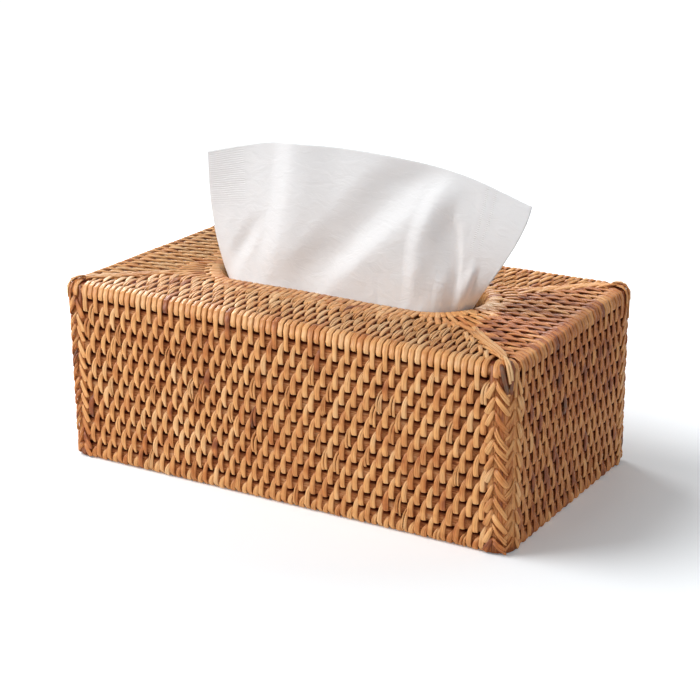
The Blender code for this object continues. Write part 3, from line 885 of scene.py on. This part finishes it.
def rimPlace(centre, outward, run, out):
    distance, height, outNormal, heightNormal = rimProfile(run)
    normal = outward * outNormal + Vector((0, 0, heightNormal))
    reach = openingRadius + distance + openingStray(centre.x, outward)
    place = centre + outward * reach + Vector((0, 0, height)) + normal * out
    return place, normal


def rimStations():
    # Where each wrap stands: its centre and its way out
    straight = 2 * rimCentreX
    found = []
    for side in (-1, 1):
        for number in range(rim["straightWraps"]):
            x = side * (rimCentreX - straight * (number + 0.5) / rim["straightWraps"])
            found.append((Vector((-x, 0, 0)), Vector((0, side, 0)), straight / rim["straightWraps"], False))
        for number in range(rim["endWraps"]):
            angle = math.pi * (number + 0.5) / rim["endWraps"] - math.pi / 2
            outward = Vector((side * math.cos(angle), math.sin(angle), 0))
            pitch = math.pi * (openingRadius + 2 * mm) / rim["endWraps"]
            found.append((Vector((side * rimCentreX, 0, 0)), outward, pitch, True))
    return found


def layRadial(made, centre, outward, inner, outer, bend, tone):
    # A float on the top that points away from the opening
    sideways = Vector((-outward.y, outward.x, 0))
    places = []
    widths = []
    for index, station in enumerate(floatShape["stations"]):
        radius = mix(inner, outer, station)
        out = (-1.2, -0.5, 0.0, 0.3, 0.45, 0.4, 0.1, -0.3, -1.2)[index] * mm
        places.append(centre + outward * radius + sideways * bend * (1 - station)
                      + Vector((0, 0, coverHeight + out)))
        widths.append(3.1 * mm * (0.4, 0.55, 0.7, 0.85, 0.97, 1, 0.95, 0.8, 0.6)[index])
    layStrand(made, places, [Vector((0, 0, 1))] * 9, widths, tone)


def weaveRim(rng):
    made = newWeave()
    arcLength = rimRollRadius * math.pi / 2
    for number, (centre, outward, pitch, atEnd) in enumerate(rimStations()):
        reach = rim["reach"] if number % 2 else rim["shortReach"]
        reach += rng.uniform(-0.4, 0.4) * mm
        end = arcLength + reach - rimRollRadius
        places = []
        normals = []
        widths = []
        lean = rng.uniform(-0.4, 0.4) * mm
        sideways = Vector((-outward.y, outward.x, 0))
        for index, station in enumerate((0, 0.1, 0.25, 0.4, 0.55, 0.7, 0.88, 0.96, 1)):
            run = mix(-rim["down"], end, station)
            out = (0.0, 0.1, 0.1, 0.12, 0.15, 0.2, 0.15, 0.0, -1.2)[index] * mm
            place, normal = rimPlace(centre, outward, run, out)
            places.append(place + sideways * lean * station)
            normals.append(normal)
            fanned = 1 + (rimProfile(run)[0] / openingRadius if atEnd else 0)
            widths.append(min(pitch * fanned * 0.96, 3.3 * mm) * (1 if index < 7 else 0.9))
        layStrand(made, places, normals, widths, pickTone(rng, places[4], 0.56))
        # Where the edge has strayed inwards, one more row fills the room up to the straight rows
        stray = openingStray(centre.x, outward)
        if stray < -2 * mm and (not atEnd or abs(outward.y) < 0.3):
            inner = openingRadius + stray + reach - 3.4 * mm
            layRadial(made, centre, outward, inner, openingRadius + reach + 2.5 * mm, outward.y * -1.8 * mm,
                      pickTone(rng, places[4], 0.52))
    # The fan at the four corners of the opening
    for signX in (-1, 1):
        for signY in (-1, 1):
            for ring in range(2):
                fanCount = 10 + 2 * ring
                for number in range(fanCount):
                    angle = math.radians(mix(14, 78, (number + 0.5 * (ring % 2)) / (fanCount - 0.5)))
                    outward = Vector((signX * math.cos(angle), signY * math.sin(angle), 0))
                    centre = Vector((signX * rimCentreX, 0, 0))
                    limitX = halfLength - sides["right"]["insets"][-1] - rimCentreX + 1.5 * mm
                    limitY = halfWidth - sides["front"]["insets"][-1] + 1.5 * mm
                    border = min(limitX / max(abs(outward.x), 0.01), limitY / max(abs(outward.y), 0.01))
                    stray = openingStray(centre.x, outward)
                    inner = openingRadius + stray + (8.6 + ring * 6.8) * mm
                    outer = min(inner + 9.5 * mm - min(stray, 0), border)
                    if outer - inner < 3 * mm:
                        continue
                    tone = pickTone(rng, centre + outward * inner, 0.50)
                    layRadial(made, centre, outward, inner, outer, 1.2 * mm * signX * signY, tone)
    finishPiece(made, "rimStrands", "cover", peelMaterial, ["rim_wrap"])


weaveRim(random.Random(77))
print("rim woven")


# The rods behind the strands

def cornerPath(insetSide, insetEnd, radius, steps, straightSteps):
    # A loop inside the cover's outline, with points all along it
    corners = [(1, -1, -90), (1, 1, 0), (-1, 1, 90), (-1, -1, 180)]
    loop = []
    for signX, signY, start in corners:
        centreX, centreY = halfLength - insetEnd - radius, halfWidth - insetSide - radius
        centre = Vector((signX * centreX, signY * centreY, 0))
        for step in range(steps + 1):
            angle = math.radians(start + 90 * step / steps)
            loop.append(centre + Vector((math.cos(angle), math.sin(angle), 0)) * radius)
    path = []
    for index, point in enumerate(loop):
        following = loop[(index + 1) % len(loop)]
        parts = straightSteps if (following - point).length > 20 * mm else 1
        path += [point.lerp(following, part / parts) for part in range(parts)]
    return path


def squared(value, power=0.52):
    return math.copysign(abs(value) ** power, value)


def sweepRod(name, path, width, height, level, closed, replaced, seed, section=14, square=0.52):
    made = newWeave()
    strandMap = made.loops.layers.uv["strand"]
    toneLayer = made.verts.layers.float["tone"]
    count = len(path)
    ring = bmesh.ops.create_circle(made, cap_ends=not closed, segments=section, radius=0.5)["verts"]
    angles = [math.atan2(vertex.co.y, vertex.co.x) + 0.01 for vertex in ring]
    stations = []
    for index, point in enumerate(path):
        before = path[index - 1] if closed or index else point
        after = path[(index + 1) % count] if closed or index < count - 1 else point
        tangent = (after - before).normalized()
        outward = Vector((tangent.y, -tangent.x, 0))
        wave = Vector((0, 0, 0.16 * mm * waver(seed, index, 0.35)))
        swell = 1 + 0.05 * waver(seed + 9, index, 0.5)
        stations.append((point + wave, outward * width * swell, Vector((0, 0, height * swell))))

    def moveRing(verts, station):
        middle, wide, tall = stations[station]
        for vertex, angle in zip(verts, angles):
            across = squared(math.cos(angle), square) / 2
            up = squared(math.sin(angle), square) / 2
            vertex.co = middle + wide * across + tall * up + Vector((0, 0, level))
            vertex[toneLayer] = station / count

    moveRing(ring, 0)
    edges = [edge for edge in made.edges]
    firstRing = ring
    for station in range(1, count):
        grown = bmesh.ops.extrude_edge_only(made, edges=edges)["geom"]
        edges = [item for item in grown if isinstance(item, bmesh.types.BMEdge)]
        found = {vertex for edge in edges for vertex in edge.verts}
        ring = [next(edge.other_vert(vertex) for edge in vertex.link_edges
                     if edge.other_vert(vertex) in found) for vertex in ring]
        moveRing(ring, station)
    if closed:
        firstVerts = set(firstRing)
        firstEdges = [edge for edge in made.edges if set(edge.verts) <= firstVerts]
        bmesh.ops.bridge_loops(made, edges=edges + firstEdges)
    else:
        bmesh.ops.holes_fill(made, edges=edges, sides=0)
    bmesh.ops.recalc_face_normals(made, faces=made.faces)
    for face in made.faces:
        for loop in face.loops:
            along = loop.vert[toneLayer]
            loop[strandMap].uv = ((loop.vert.co.z - level) / height + 0.5, along)
    for vertex in made.verts:
        vertex[toneLayer] = (seed * 0.377) % 1
    return finishPiece(made, name, "cover", rodMaterial, replaced)


def layWallRods():
    for number, name in enumerate(stackedRods):
        low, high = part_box(name)
        inset = halfLength - high.x
        tall = high.z - low.z
        deep = tall if name == "edge_rod" else cover["wallDepth"] - 2 * skinStep
        middle = inset + deep / 2
        path = cornerPath(middle, middle, cover["cornerRadius"] - middle, 5, 14)
        square = 1.0 if name == "edge_rod" else 0.45
        sweepRod("rod_" + name, path, deep, tall, (low.z + high.z) / 2, True, [name], number + 1,
                 square=square)


def layTopRods():
    width = sides["front"]["insets"][1] - sides["front"]["insets"][0] - 0.6 * mm
    for number, (low, high) in enumerate(topBoxes):
        insetSide = halfWidth - high.y + width / 2
        insetEnd = halfLength - high.x + width / 2
        path = cornerPath(insetSide, insetEnd, 1.2 * mm + width / 2, 4, 12)
        tall = high.z - low.z
        name = "top_rod_%d" % (number + 1)
        sweepRod("rod_" + name, path, width, tall, (low.z + high.z) / 2, True, [name], number + 21)


def layRimRods():
    thick = rimHigh.z - rimLow.z
    path = []
    for side in (1, -1):
        for step in range(13):
            angle = math.pi * step / 12 - math.pi / 2
            outward = Vector((side * math.cos(angle), side * math.sin(angle), 0))
            reach = openingRadius + rimRollRadius + openingStray(side * rimCentreX, outward)
            path.append(Vector((side * rimCentreX, 0, 0)) + outward * reach)
    sweepRod("rod_rim_rod", path, thick, thick, (rimLow.z + rimHigh.z) / 2, True, ["rim_rod"], 31, square=1.0)
    for number, (name, (signX, signY, _)) in enumerate(cornerSigns.items()):
        low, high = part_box("filler_rod_" + name)
        tall = high.z - low.z
        width = 6.4 * mm
        radius = openingRadius + 2 * rimRollRadius + width / 2
        path = []
        for step in range(7):
            angle = math.radians(mix(27, 60, step / 6))
            path.append(Vector((signX * (rimCentreX + radius * math.cos(angle)),
                                signY * radius * math.sin(angle), 0)))
        sweepRod("rod_filler_" + name, path, width, tall, (low.z + high.z) / 2, False,
                 ["filler_rod_" + name], 41 + number)


layWallRods()
layTopRods()
layRimRods()
print("rods laid")


# The tissue: one sheet, gathered in the opening, its hidden half folded over the stack

tissue = {
    "flat": (0.208, 0.200),
    "columns": 208,
    "visibleRows": 88,
    "hiddenRows": 40,
    "thickness": 0.22 * mm,
    "clearance": 1.3 * mm,       # from the rim's wraps
    "neckHeight": 1.0 * mm,      # over the rim's crest, where the folds are tightest
    "leftSweep": 34,             # degrees round the opening's left end
    "rightSweep": 88,
    "foldShare": 0.55,           # of the folds' rises below
}
# Along the width: share, and the free edge's place and height
tissueHead = ((0.0, -81, -6, 158.5), (0.12, -60, -4, 163.5), (0.25, -36, -5, 168), (0.45, 4, -6.5, 169),
              (0.62, 38, -7.5, 167.5), (0.80, 73.5, -9.5, 163.5), (1.0, 111, -13, 153.5))
# Along the width: share, and how soon the sheet spreads sideways and leans back above the opening
tissueFlare = ((0.0, 2.7, 2.7), (0.15, 2.2, 2.2), (0.4, 1.7, 1.7), (0.7, 1.5, 2.0), (0.9, 1.3, 4.0),
               (1.0, 1.4, 5.0))
# Ridges and dents of the standing half. Each follows a line, given by its share of the width at the foot
# and at the head and by its bow to the right; it ends at a height, stands out by a rise in mm, and has its
# own width, again as a share, on its left and on its right
tissueFolds = {
    "pouch": {"foot": 0.02, "head": 0.33, "bow": 0, "end": 0.55, "rise": -3, "left": 0.05, "right": 0.05},
    "longRidge": {"foot": 0.20, "head": 0.31, "bow": 0.02, "end": 1.3, "rise": 5, "left": 0.08,
                  "right": 0.14},
    "broadDent": {"foot": 0.33, "head": 0.69, "bow": 0, "end": 1.1, "rise": -6, "left": 0.14, "right": 0.11},
    "broadRidge": {"foot": 0.42, "head": 0.86, "bow": 0, "end": 0.85, "rise": 1.5, "left": 0.09,
                   "right": 0.14},
    "steepRidge": {"foot": 0.74, "head": 0.78, "bow": -0.055, "end": 1.0, "rise": 4, "left": 0.05,
                   "right": 0.07},
    "steepDent": {"foot": 0.89, "head": 0.72, "bow": 0, "end": 0.85, "rise": -4, "left": 0.08, "right": 0.04},
    "firstLeaf": {"foot": 0.84, "head": 0.74, "bow": 0, "end": 0.45, "rise": 3, "left": 0.055, "right": 0.04},
    "secondLeaf": {"foot": 0.93, "head": 0.86, "bow": 0, "end": 0.5, "rise": 3, "left": 0.04, "right": 0.03},
    "lastDent": {"foot": 0.955, "head": 0.90, "bow": 0, "end": 0.5, "rise": -2, "left": 0.03, "right": 0.045},
}
foldFade = 0.3    # the height over which a fold dies out below its end
crumple = {
    "footShare": 0.3,       # of the folds' rises, left at the foot
    "footHeight": 0.3,      # over which they grow to the whole
    "broad": 0.30,          # of the crumples, in mm before the folds' share
    "fine": 0.25,
    "least": 0.4,           # the most that anything stands out at the foot, in mm
    "more": 6,              # and how much more it may above
    "moreHeight": 0.35,
}
pile = {
    "descend": 0.26,        # the part of the hidden half that goes down through the slot
    "halfLong": 52 * mm,
    "halfWide": 15.5 * mm,
    "layers": 5,
    "step": 0.85 * mm,
    "gather": 0.9,          # of the foot's folds, where the sheet goes down
}


def along(points, share):
    # A smooth reading of a table whose first column is the share
    index = 0
    while index < len(points) - 2 and share > points[index + 1][0]:
        index += 1
    start, end = points[index], points[index + 1]
    before = points[max(index - 1, 0)]
    after = points[min(index + 2, len(points) - 1)]
    span = end[0] - start[0]
    part = (share - start[0]) / span
    values = []
    for column in range(1, len(start)):
        slopeStart = (end[column] - before[column]) / (end[0] - before[0]) * span
        slopeEnd = (after[column] - start[column]) / (after[0] - start[0]) * span
        square, cube = part ** 2, part ** 3
        values.append((2 * cube - 3 * square + 1) * start[column] + (cube - 2 * square + part) * slopeStart
                      + (3 * square - 2 * cube) * end[column] + (cube - square) * slopeEnd)
    return values


def foldRelief(share, height):
    # How far the folds stand out at a place on the standing half
    total = 0
    for fold in tissueFolds.values():
        line = mix(fold["foot"], fold["head"], height) + fold["bow"] * math.sin(height * math.pi)
        width = fold["right"] if share > line else fold["left"]
        shown = ease((fold["end"] - height) / foldFade)
        total += fold["rise"] * shown * (1 - ease(abs(share - line) / width))
    # The opening's edge holds the folds flatter at the foot
    total *= mix(crumple["footShare"], 1, ease(height / crumple["footHeight"]))
    # Fine crumples that gather towards the opening
    gathered = (1 - height) ** 2
    total += crumple["broad"] * noise.noise(Vector((share * 26, height * 7, 3))) * (1 - height ** 4)
    total += crumple["fine"] * gathered * noise.noise(Vector((share * 70 + height * 9, height * 3, 8)))
    most = crumple["least"] + crumple["more"] * ease(height / crumple["moreHeight"])
    return min(total * tissue["foldShare"], most) * mm


def tissueFoot(share):
    # From the left end of the opening along its front and round its right end
    radius = openingRadius - tissue["clearance"]
    leftRadius = radius - 6 * mm
    leftRun = math.radians(tissue["leftSweep"]) * leftRadius
    rightRun = math.radians(tissue["rightSweep"]) * radius
    run = share * (leftRun + 2 * rimCentreX + rightRun) - leftRun
    x = min(max(run - rimCentreX, -rimCentreX), rimCentreX)
    beyond = min(run, 0) / leftRadius + max(run - 2 * rimCentreX, 0) / radius
    turn = beyond - math.pi / 2
    outward = Vector((math.cos(turn), math.sin(turn), 0))
    return Vector((x, 0, 0)) + outward * (radius + openingStray(x, outward))


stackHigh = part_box("tissue_stack")[1].z


def tissuePlace(share, row):
    visible = tissue["visibleRows"]
    foot = tissueFoot(share)
    neck = coverHeight - rimRollRadius + tissue["neckHeight"]
    if row <= visible:
        height = 1 - row / visible
        x, y, z = (value * mm for value in along(tissueHead, share))
        spread, lean = along(tissueFlare, share)
        point = Vector((mix(foot.x, x, 1 - (1 - height) ** spread), mix(foot.y, y, 1 - (1 - height) ** lean),
                        mix(neck, z, height)))
        turn = ease((share - 0.86) / 0.14) * 1.5 * (1 - 0.35 * ease(height))
        return point + Vector((math.sin(turn), -math.cos(turn), 0)) * foldRelief(share, height)
    # Down through the slot, then to and fro over the stack
    hidden = (row - visible) / tissue["hiddenRows"]
    descend, layers, step = pile["descend"], pile["layers"], pile["step"]
    halfLong, halfWide = pile["halfLong"], pile["halfWide"]
    pileTop = stackHigh + 0.6 * mm + step * (layers - 1)
    gather = foldRelief(share, 0) * pile["gather"]
    if hidden < descend:
        part = hidden / descend
        drawn = 1 - (1 - part) ** 2
        point = foot.lerp(Vector((mix(-halfLong, halfLong, share), -halfWide, 0)), drawn)
        point.y -= min(gather, 0.6 * mm) * (1 - part)
        point.z = mix(neck, pileTop, part)
        return point
    run = (hidden - descend) / (1 - descend) * layers
    layer = min(int(run), layers - 1)
    part = run - layer
    side = 1 if layer % 2 == 0 else -1
    sway = math.sin((part - 0.5) * math.pi)
    ripple = 0.25 * mm * noise.noise(Vector((share * 22, layer * 3.1, part * 2)))
    sunk = step * (layer + part - 0.5 * (part > 0))
    return Vector((mix(-halfLong, halfLong, share), side * sway * halfWide, pileTop - sunk + ripple))


def makeTissue():
    made = bmesh.new()
    rows = tissue["visibleRows"] + tissue["hiddenRows"]
    columns = tissue["columns"]
    bmesh.ops.create_grid(made, x_segments=columns, y_segments=rows, size=0.5)
    sheetMap = made.loops.layers.uv.new("sheet")
    wide, long = tissue["flat"]
    for vertex in made.verts:
        share = vertex.co.x + 0.5
        row = round((0.5 - vertex.co.y) * rows)
        vertex.co = tissuePlace(share, row)
        vertex.co.z = max(vertex.co.z, stackHigh + 0.4 * mm)
    made.verts.ensure_lookup_table()
    for face in made.faces:
        for loop in face.loops:
            index = loop.vert.index
            column, row = index % (columns + 1), index // (columns + 1)
            loop[sheetMap].uv = (column / columns * wide, (rows - row) / rows * long)
    piece = finishPiece(made, "standingTissue", "tissue", tissueMaterial, ["pulled_tissue"],
                        settled=False)
    wall = piece.modifiers.new("Plies", "SOLIDIFY")
    wall.thickness = tissue["thickness"]
    wall.offset = 0
    return piece


paperLook = {
    "colour": (0.86, 0.865, 0.875),
    "roughness": 0.95,
    # Pressed strips: from, to, how far down from the free edge, pitch of the ribs, and their depth
    "crimps": ((1.5 * mm, 26 * mm, 50 * mm, 2.3 * mm, 0.05 * mm),
               (180.0 * mm, 181.6 * mm, 60 * mm, 2.0 * mm, 0.09 * mm),
               (185.5 * mm, 187.1 * mm, 60 * mm, 2.0 * mm, 0.09 * mm)),
}


def buildTissueMaterial():
    material, tree, shader = newMaterial("tissueCrepe", paperLook["colour"])
    sheetMap = addNode(tree, "ShaderNodeUVMap", uv_map="sheet").outputs[0]
    creased = addNode(tree, "ShaderNodeTexNoise", {
        "Vector": sheetMap, "Scale": 90.0, "Detail": 4.0, "Roughness": 0.55, "Distortion": 1.2})
    bump = addBump(tree, addNoise(tree, sheetMap, 900.0, 3.0, 0.6), 0.06 * mm, 0.5)
    bump = addBump(tree, creased.outputs[0], 0.9 * mm, 0.35, Normal=bump)
    for near, far, down, pitch, depth in paperLook["crimps"]:
        bump = addCrimp(tree, sheetMap, near, far, down, pitch, depth, bump)
    setInputs(tree, shader, {
        "Base Color": (*paperLook["colour"], 1),
        "Roughness": paperLook["roughness"],
        "Specular IOR Level": 0.15,
        "Sheen Weight": 0.1,
        "Normal": bump,
    })
    return material


def addCrimp(tree, sheetMap, near, far, down, pitch, depth, bump):
    # Ribs pressed across a narrow strip of the sheet, between two distances from its left edge
    parts = addNode(tree, "ShaderNodeSeparateXYZ", {0: sheetMap})
    across, along = parts.outputs[0], parts.outputs[1]
    start = addRange(tree, across, near - 0.6 * mm, near, 0.0, 1.0)
    end = addRange(tree, across, far, far + 0.6 * mm, 1.0, 0.0)
    low = addRange(tree, along, down, down + 15 * mm, 1.0, 0.0)
    strip = addMath(tree, "MULTIPLY", addMath(tree, "MULTIPLY", start, end), low)
    sway = addNode(tree, "ShaderNodeTexNoise", {"Vector": sheetMap, "Scale": 70.0}).outputs[0]
    moved = addMath(tree, "MULTIPLY_ADD", sway, 2.0 * mm, along)
    wave = addMath(tree, "SINE", addMath(tree, "MULTIPLY", moved, 2 * math.pi / pitch))
    return addBump(tree, addMath(tree, "MULTIPLY", wave, strip), depth, 0.8, Normal=bump)


tissueMaterial = buildTissueMaterial()
makeTissue()
print("tissue made")


# The carton and the stack under the cover keep their CAD shapes

cartonLook = {"colour": (0.80, 0.79, 0.76), "shade": (0.76, 0.75, 0.715), "roughness": 0.6}
stackLook = {"colour": (0.90, 0.89, 0.88), "shade": (0.62, 0.61, 0.60), "plyPitch": 0.9 * mm}


def buildCartonMaterial(look):
    material, tree, shader = newMaterial("cartonBoard", look["colour"])
    place = addNode(tree, "ShaderNodeTexCoord").outputs["Object"]
    fibre = addNoise(tree, place, 420.0, 4.0, 0.6)
    both = addMath(tree, "ADD", fibre, addNoise(tree, place, 30.0, 2.0, 0.5))
    half = addMath(tree, "MULTIPLY", both, 0.5)
    setInputs(tree, shader, {
        "Base Color": addRamp(tree, half, [(0.38, look["shade"]), (0.52, look["colour"])]),
        "Roughness": look["roughness"],
        "Specular IOR Level": 0.3,
        "Normal": addBump(tree, fibre, 0.08 * mm, 0.5),
    })
    return material


def buildStackMaterial(look):
    # Thin dark lines of painted shade between the folded sheets, seen on the sides only
    material, tree, shader = newMaterial("stackedTissue", look["colour"])
    place = addNode(tree, "ShaderNodeTexCoord").outputs["Object"]
    height = addNode(tree, "ShaderNodeSeparateXYZ", {0: place}).outputs[2]
    moved = addMath(tree, "MULTIPLY_ADD", addNoise(tree, place, 60.0, 3.0, 0.6), 1.5 * mm, height)
    wave = addMath(tree, "SINE", addMath(tree, "MULTIPLY", moved, 2 * math.pi / look["plyPitch"]))
    setInputs(tree, shader, {
        "Base Color": addRamp(tree, wave, [(0.0, look["shade"]), (0.35, look["colour"])]),
        "Roughness": 0.95,
        "Normal": addBump(tree, wave, 0.3 * mm, 0.7),
    })
    return material


for nodeName, material in (("tissue_carton", buildCartonMaterial(cartonLook)),
                           ("tissue_stack", buildStackMaterial(stackLook))):
    slots = bpy.data.objects[nodeName].material_slots
    for slot in slots:
        slot.material = material
print("carton and stack finished")


# Camera, light and floor

view = {
    "lens": 90.5, "place": (0.45723, -0.74272, 0.35516),
    "azimuth": 31.5, "elevation": 18.7, "roll": -0.54,
}


def addCamera():
    azimuth, elevation, roll = (math.radians(view[key]) for key in ("azimuth", "elevation", "roll"))
    back = Vector((math.sin(azimuth) * math.cos(elevation), -math.cos(azimuth) * math.cos(elevation),
                   math.sin(elevation)))
    right = (-back).cross(Vector((0, 0, 1))).normalized()
    up = right.cross(-back)
    rolledRight = right * math.cos(roll) + up * math.sin(roll)
    rolledUp = up * math.cos(roll) - right * math.sin(roll)
    data = bpy.data.cameras.new("camera")
    data.lens = view["lens"]
    data.sensor_width = 36
    camera = bpy.data.objects.new("camera", data)
    bpy.context.scene.collection.objects.link(camera)
    matrix = camera.matrix_world.to_3x3()
    for row in range(3):
        matrix[row] = (rolledRight[row], rolledUp[row], back[row])
    camera.matrix_world = matrix.to_4x4()
    camera.location = view["place"]
    bpy.context.scene.camera = camera


lamps = {
    "key": {"place": (-0.82, -0.44, 1.08), "size": 1.0, "power": 19.5},
    "fill": {"place": (1.25, -0.75, 0.70), "size": 0.7, "power": 4.2},
    "sheen": {"place": (-0.58, 0.40, 0.42), "size": 0.35, "power": 3.0},
}


def addLamps():
    target = Vector((0, 0, coverHeight / 2))
    for name, lamp in lamps.items():
        data = bpy.data.lights.new(name, "AREA")
        data.shape = "DISK"
        data.size = lamp["size"]
        data.energy = lamp["power"]
        piece = bpy.data.objects.new(name, data)
        bpy.context.scene.collection.objects.link(piece)
        piece.location = lamp["place"]
        piece.rotation_euler = (target - piece.location).to_track_quat("-Z", "Y").to_euler()


def setWorld():
    world = bpy.data.worlds.new("studio")
    bpy.context.scene.world = world
    world.use_nodes = True
    tree = world.node_tree
    background = tree.nodes["Background"]
    path = addNode(tree, "ShaderNodeLightPath")
    seen = addNode(tree, "ShaderNodeMath",
                   {0: path.outputs["Is Camera Ray"], 1: path.outputs["Is Glossy Ray"]}, operation="MAXIMUM")
    strength = addNode(tree, "ShaderNodeMapRange", {0: seen.outputs[0], 3: 0.19, 4: 1.0})
    background.inputs["Color"].default_value = (1, 1, 1, 1)
    tree.links.new(strength.outputs[0], background.inputs["Strength"])


def addFloor():
    made = bmesh.new()
    bmesh.ops.create_grid(made, x_segments=1, y_segments=1, size=6)
    data = bpy.data.meshes.new("floor")
    made.to_mesh(data)
    made.free()
    floor = bpy.data.objects.new("floor", data)
    bpy.context.scene.collection.objects.link(floor)
    material, tree, shader = newMaterial("paleFloor", (0.9, 0.9, 0.9))
    shader.inputs["Base Color"].default_value = (0.89, 0.915, 0.94, 1)
    shader.inputs["Roughness"].default_value = 0.9
    shader.inputs["Specular IOR Level"].default_value = 0.1
    path = addNode(tree, "ShaderNodeLightPath")
    place = addNode(tree, "ShaderNodeTexCoord")
    away = addNode(tree, "ShaderNodeVectorMath", {0: place.outputs["Object"]}, operation="LENGTH")
    rise = addNode(tree, "ShaderNodeMapRange", {0: away.outputs["Value"], 1: 0.14, 2: 0.42, 3: 0.12, 4: 0.85})
    shader.inputs["Emission Color"].default_value = (0.92, 0.97, 1.0, 1)
    glow = addNode(tree, "ShaderNodeMath", {0: path.outputs["Is Camera Ray"], 1: rise.outputs[0]},
                   operation="MULTIPLY")
    tree.links.new(glow.outputs[0], shader.inputs["Emission Strength"])
    data.materials.append(material)


addCamera()
addLamps()
setWorld()
addFloor()
bpy.context.scene.view_settings.view_transform = "Standard"
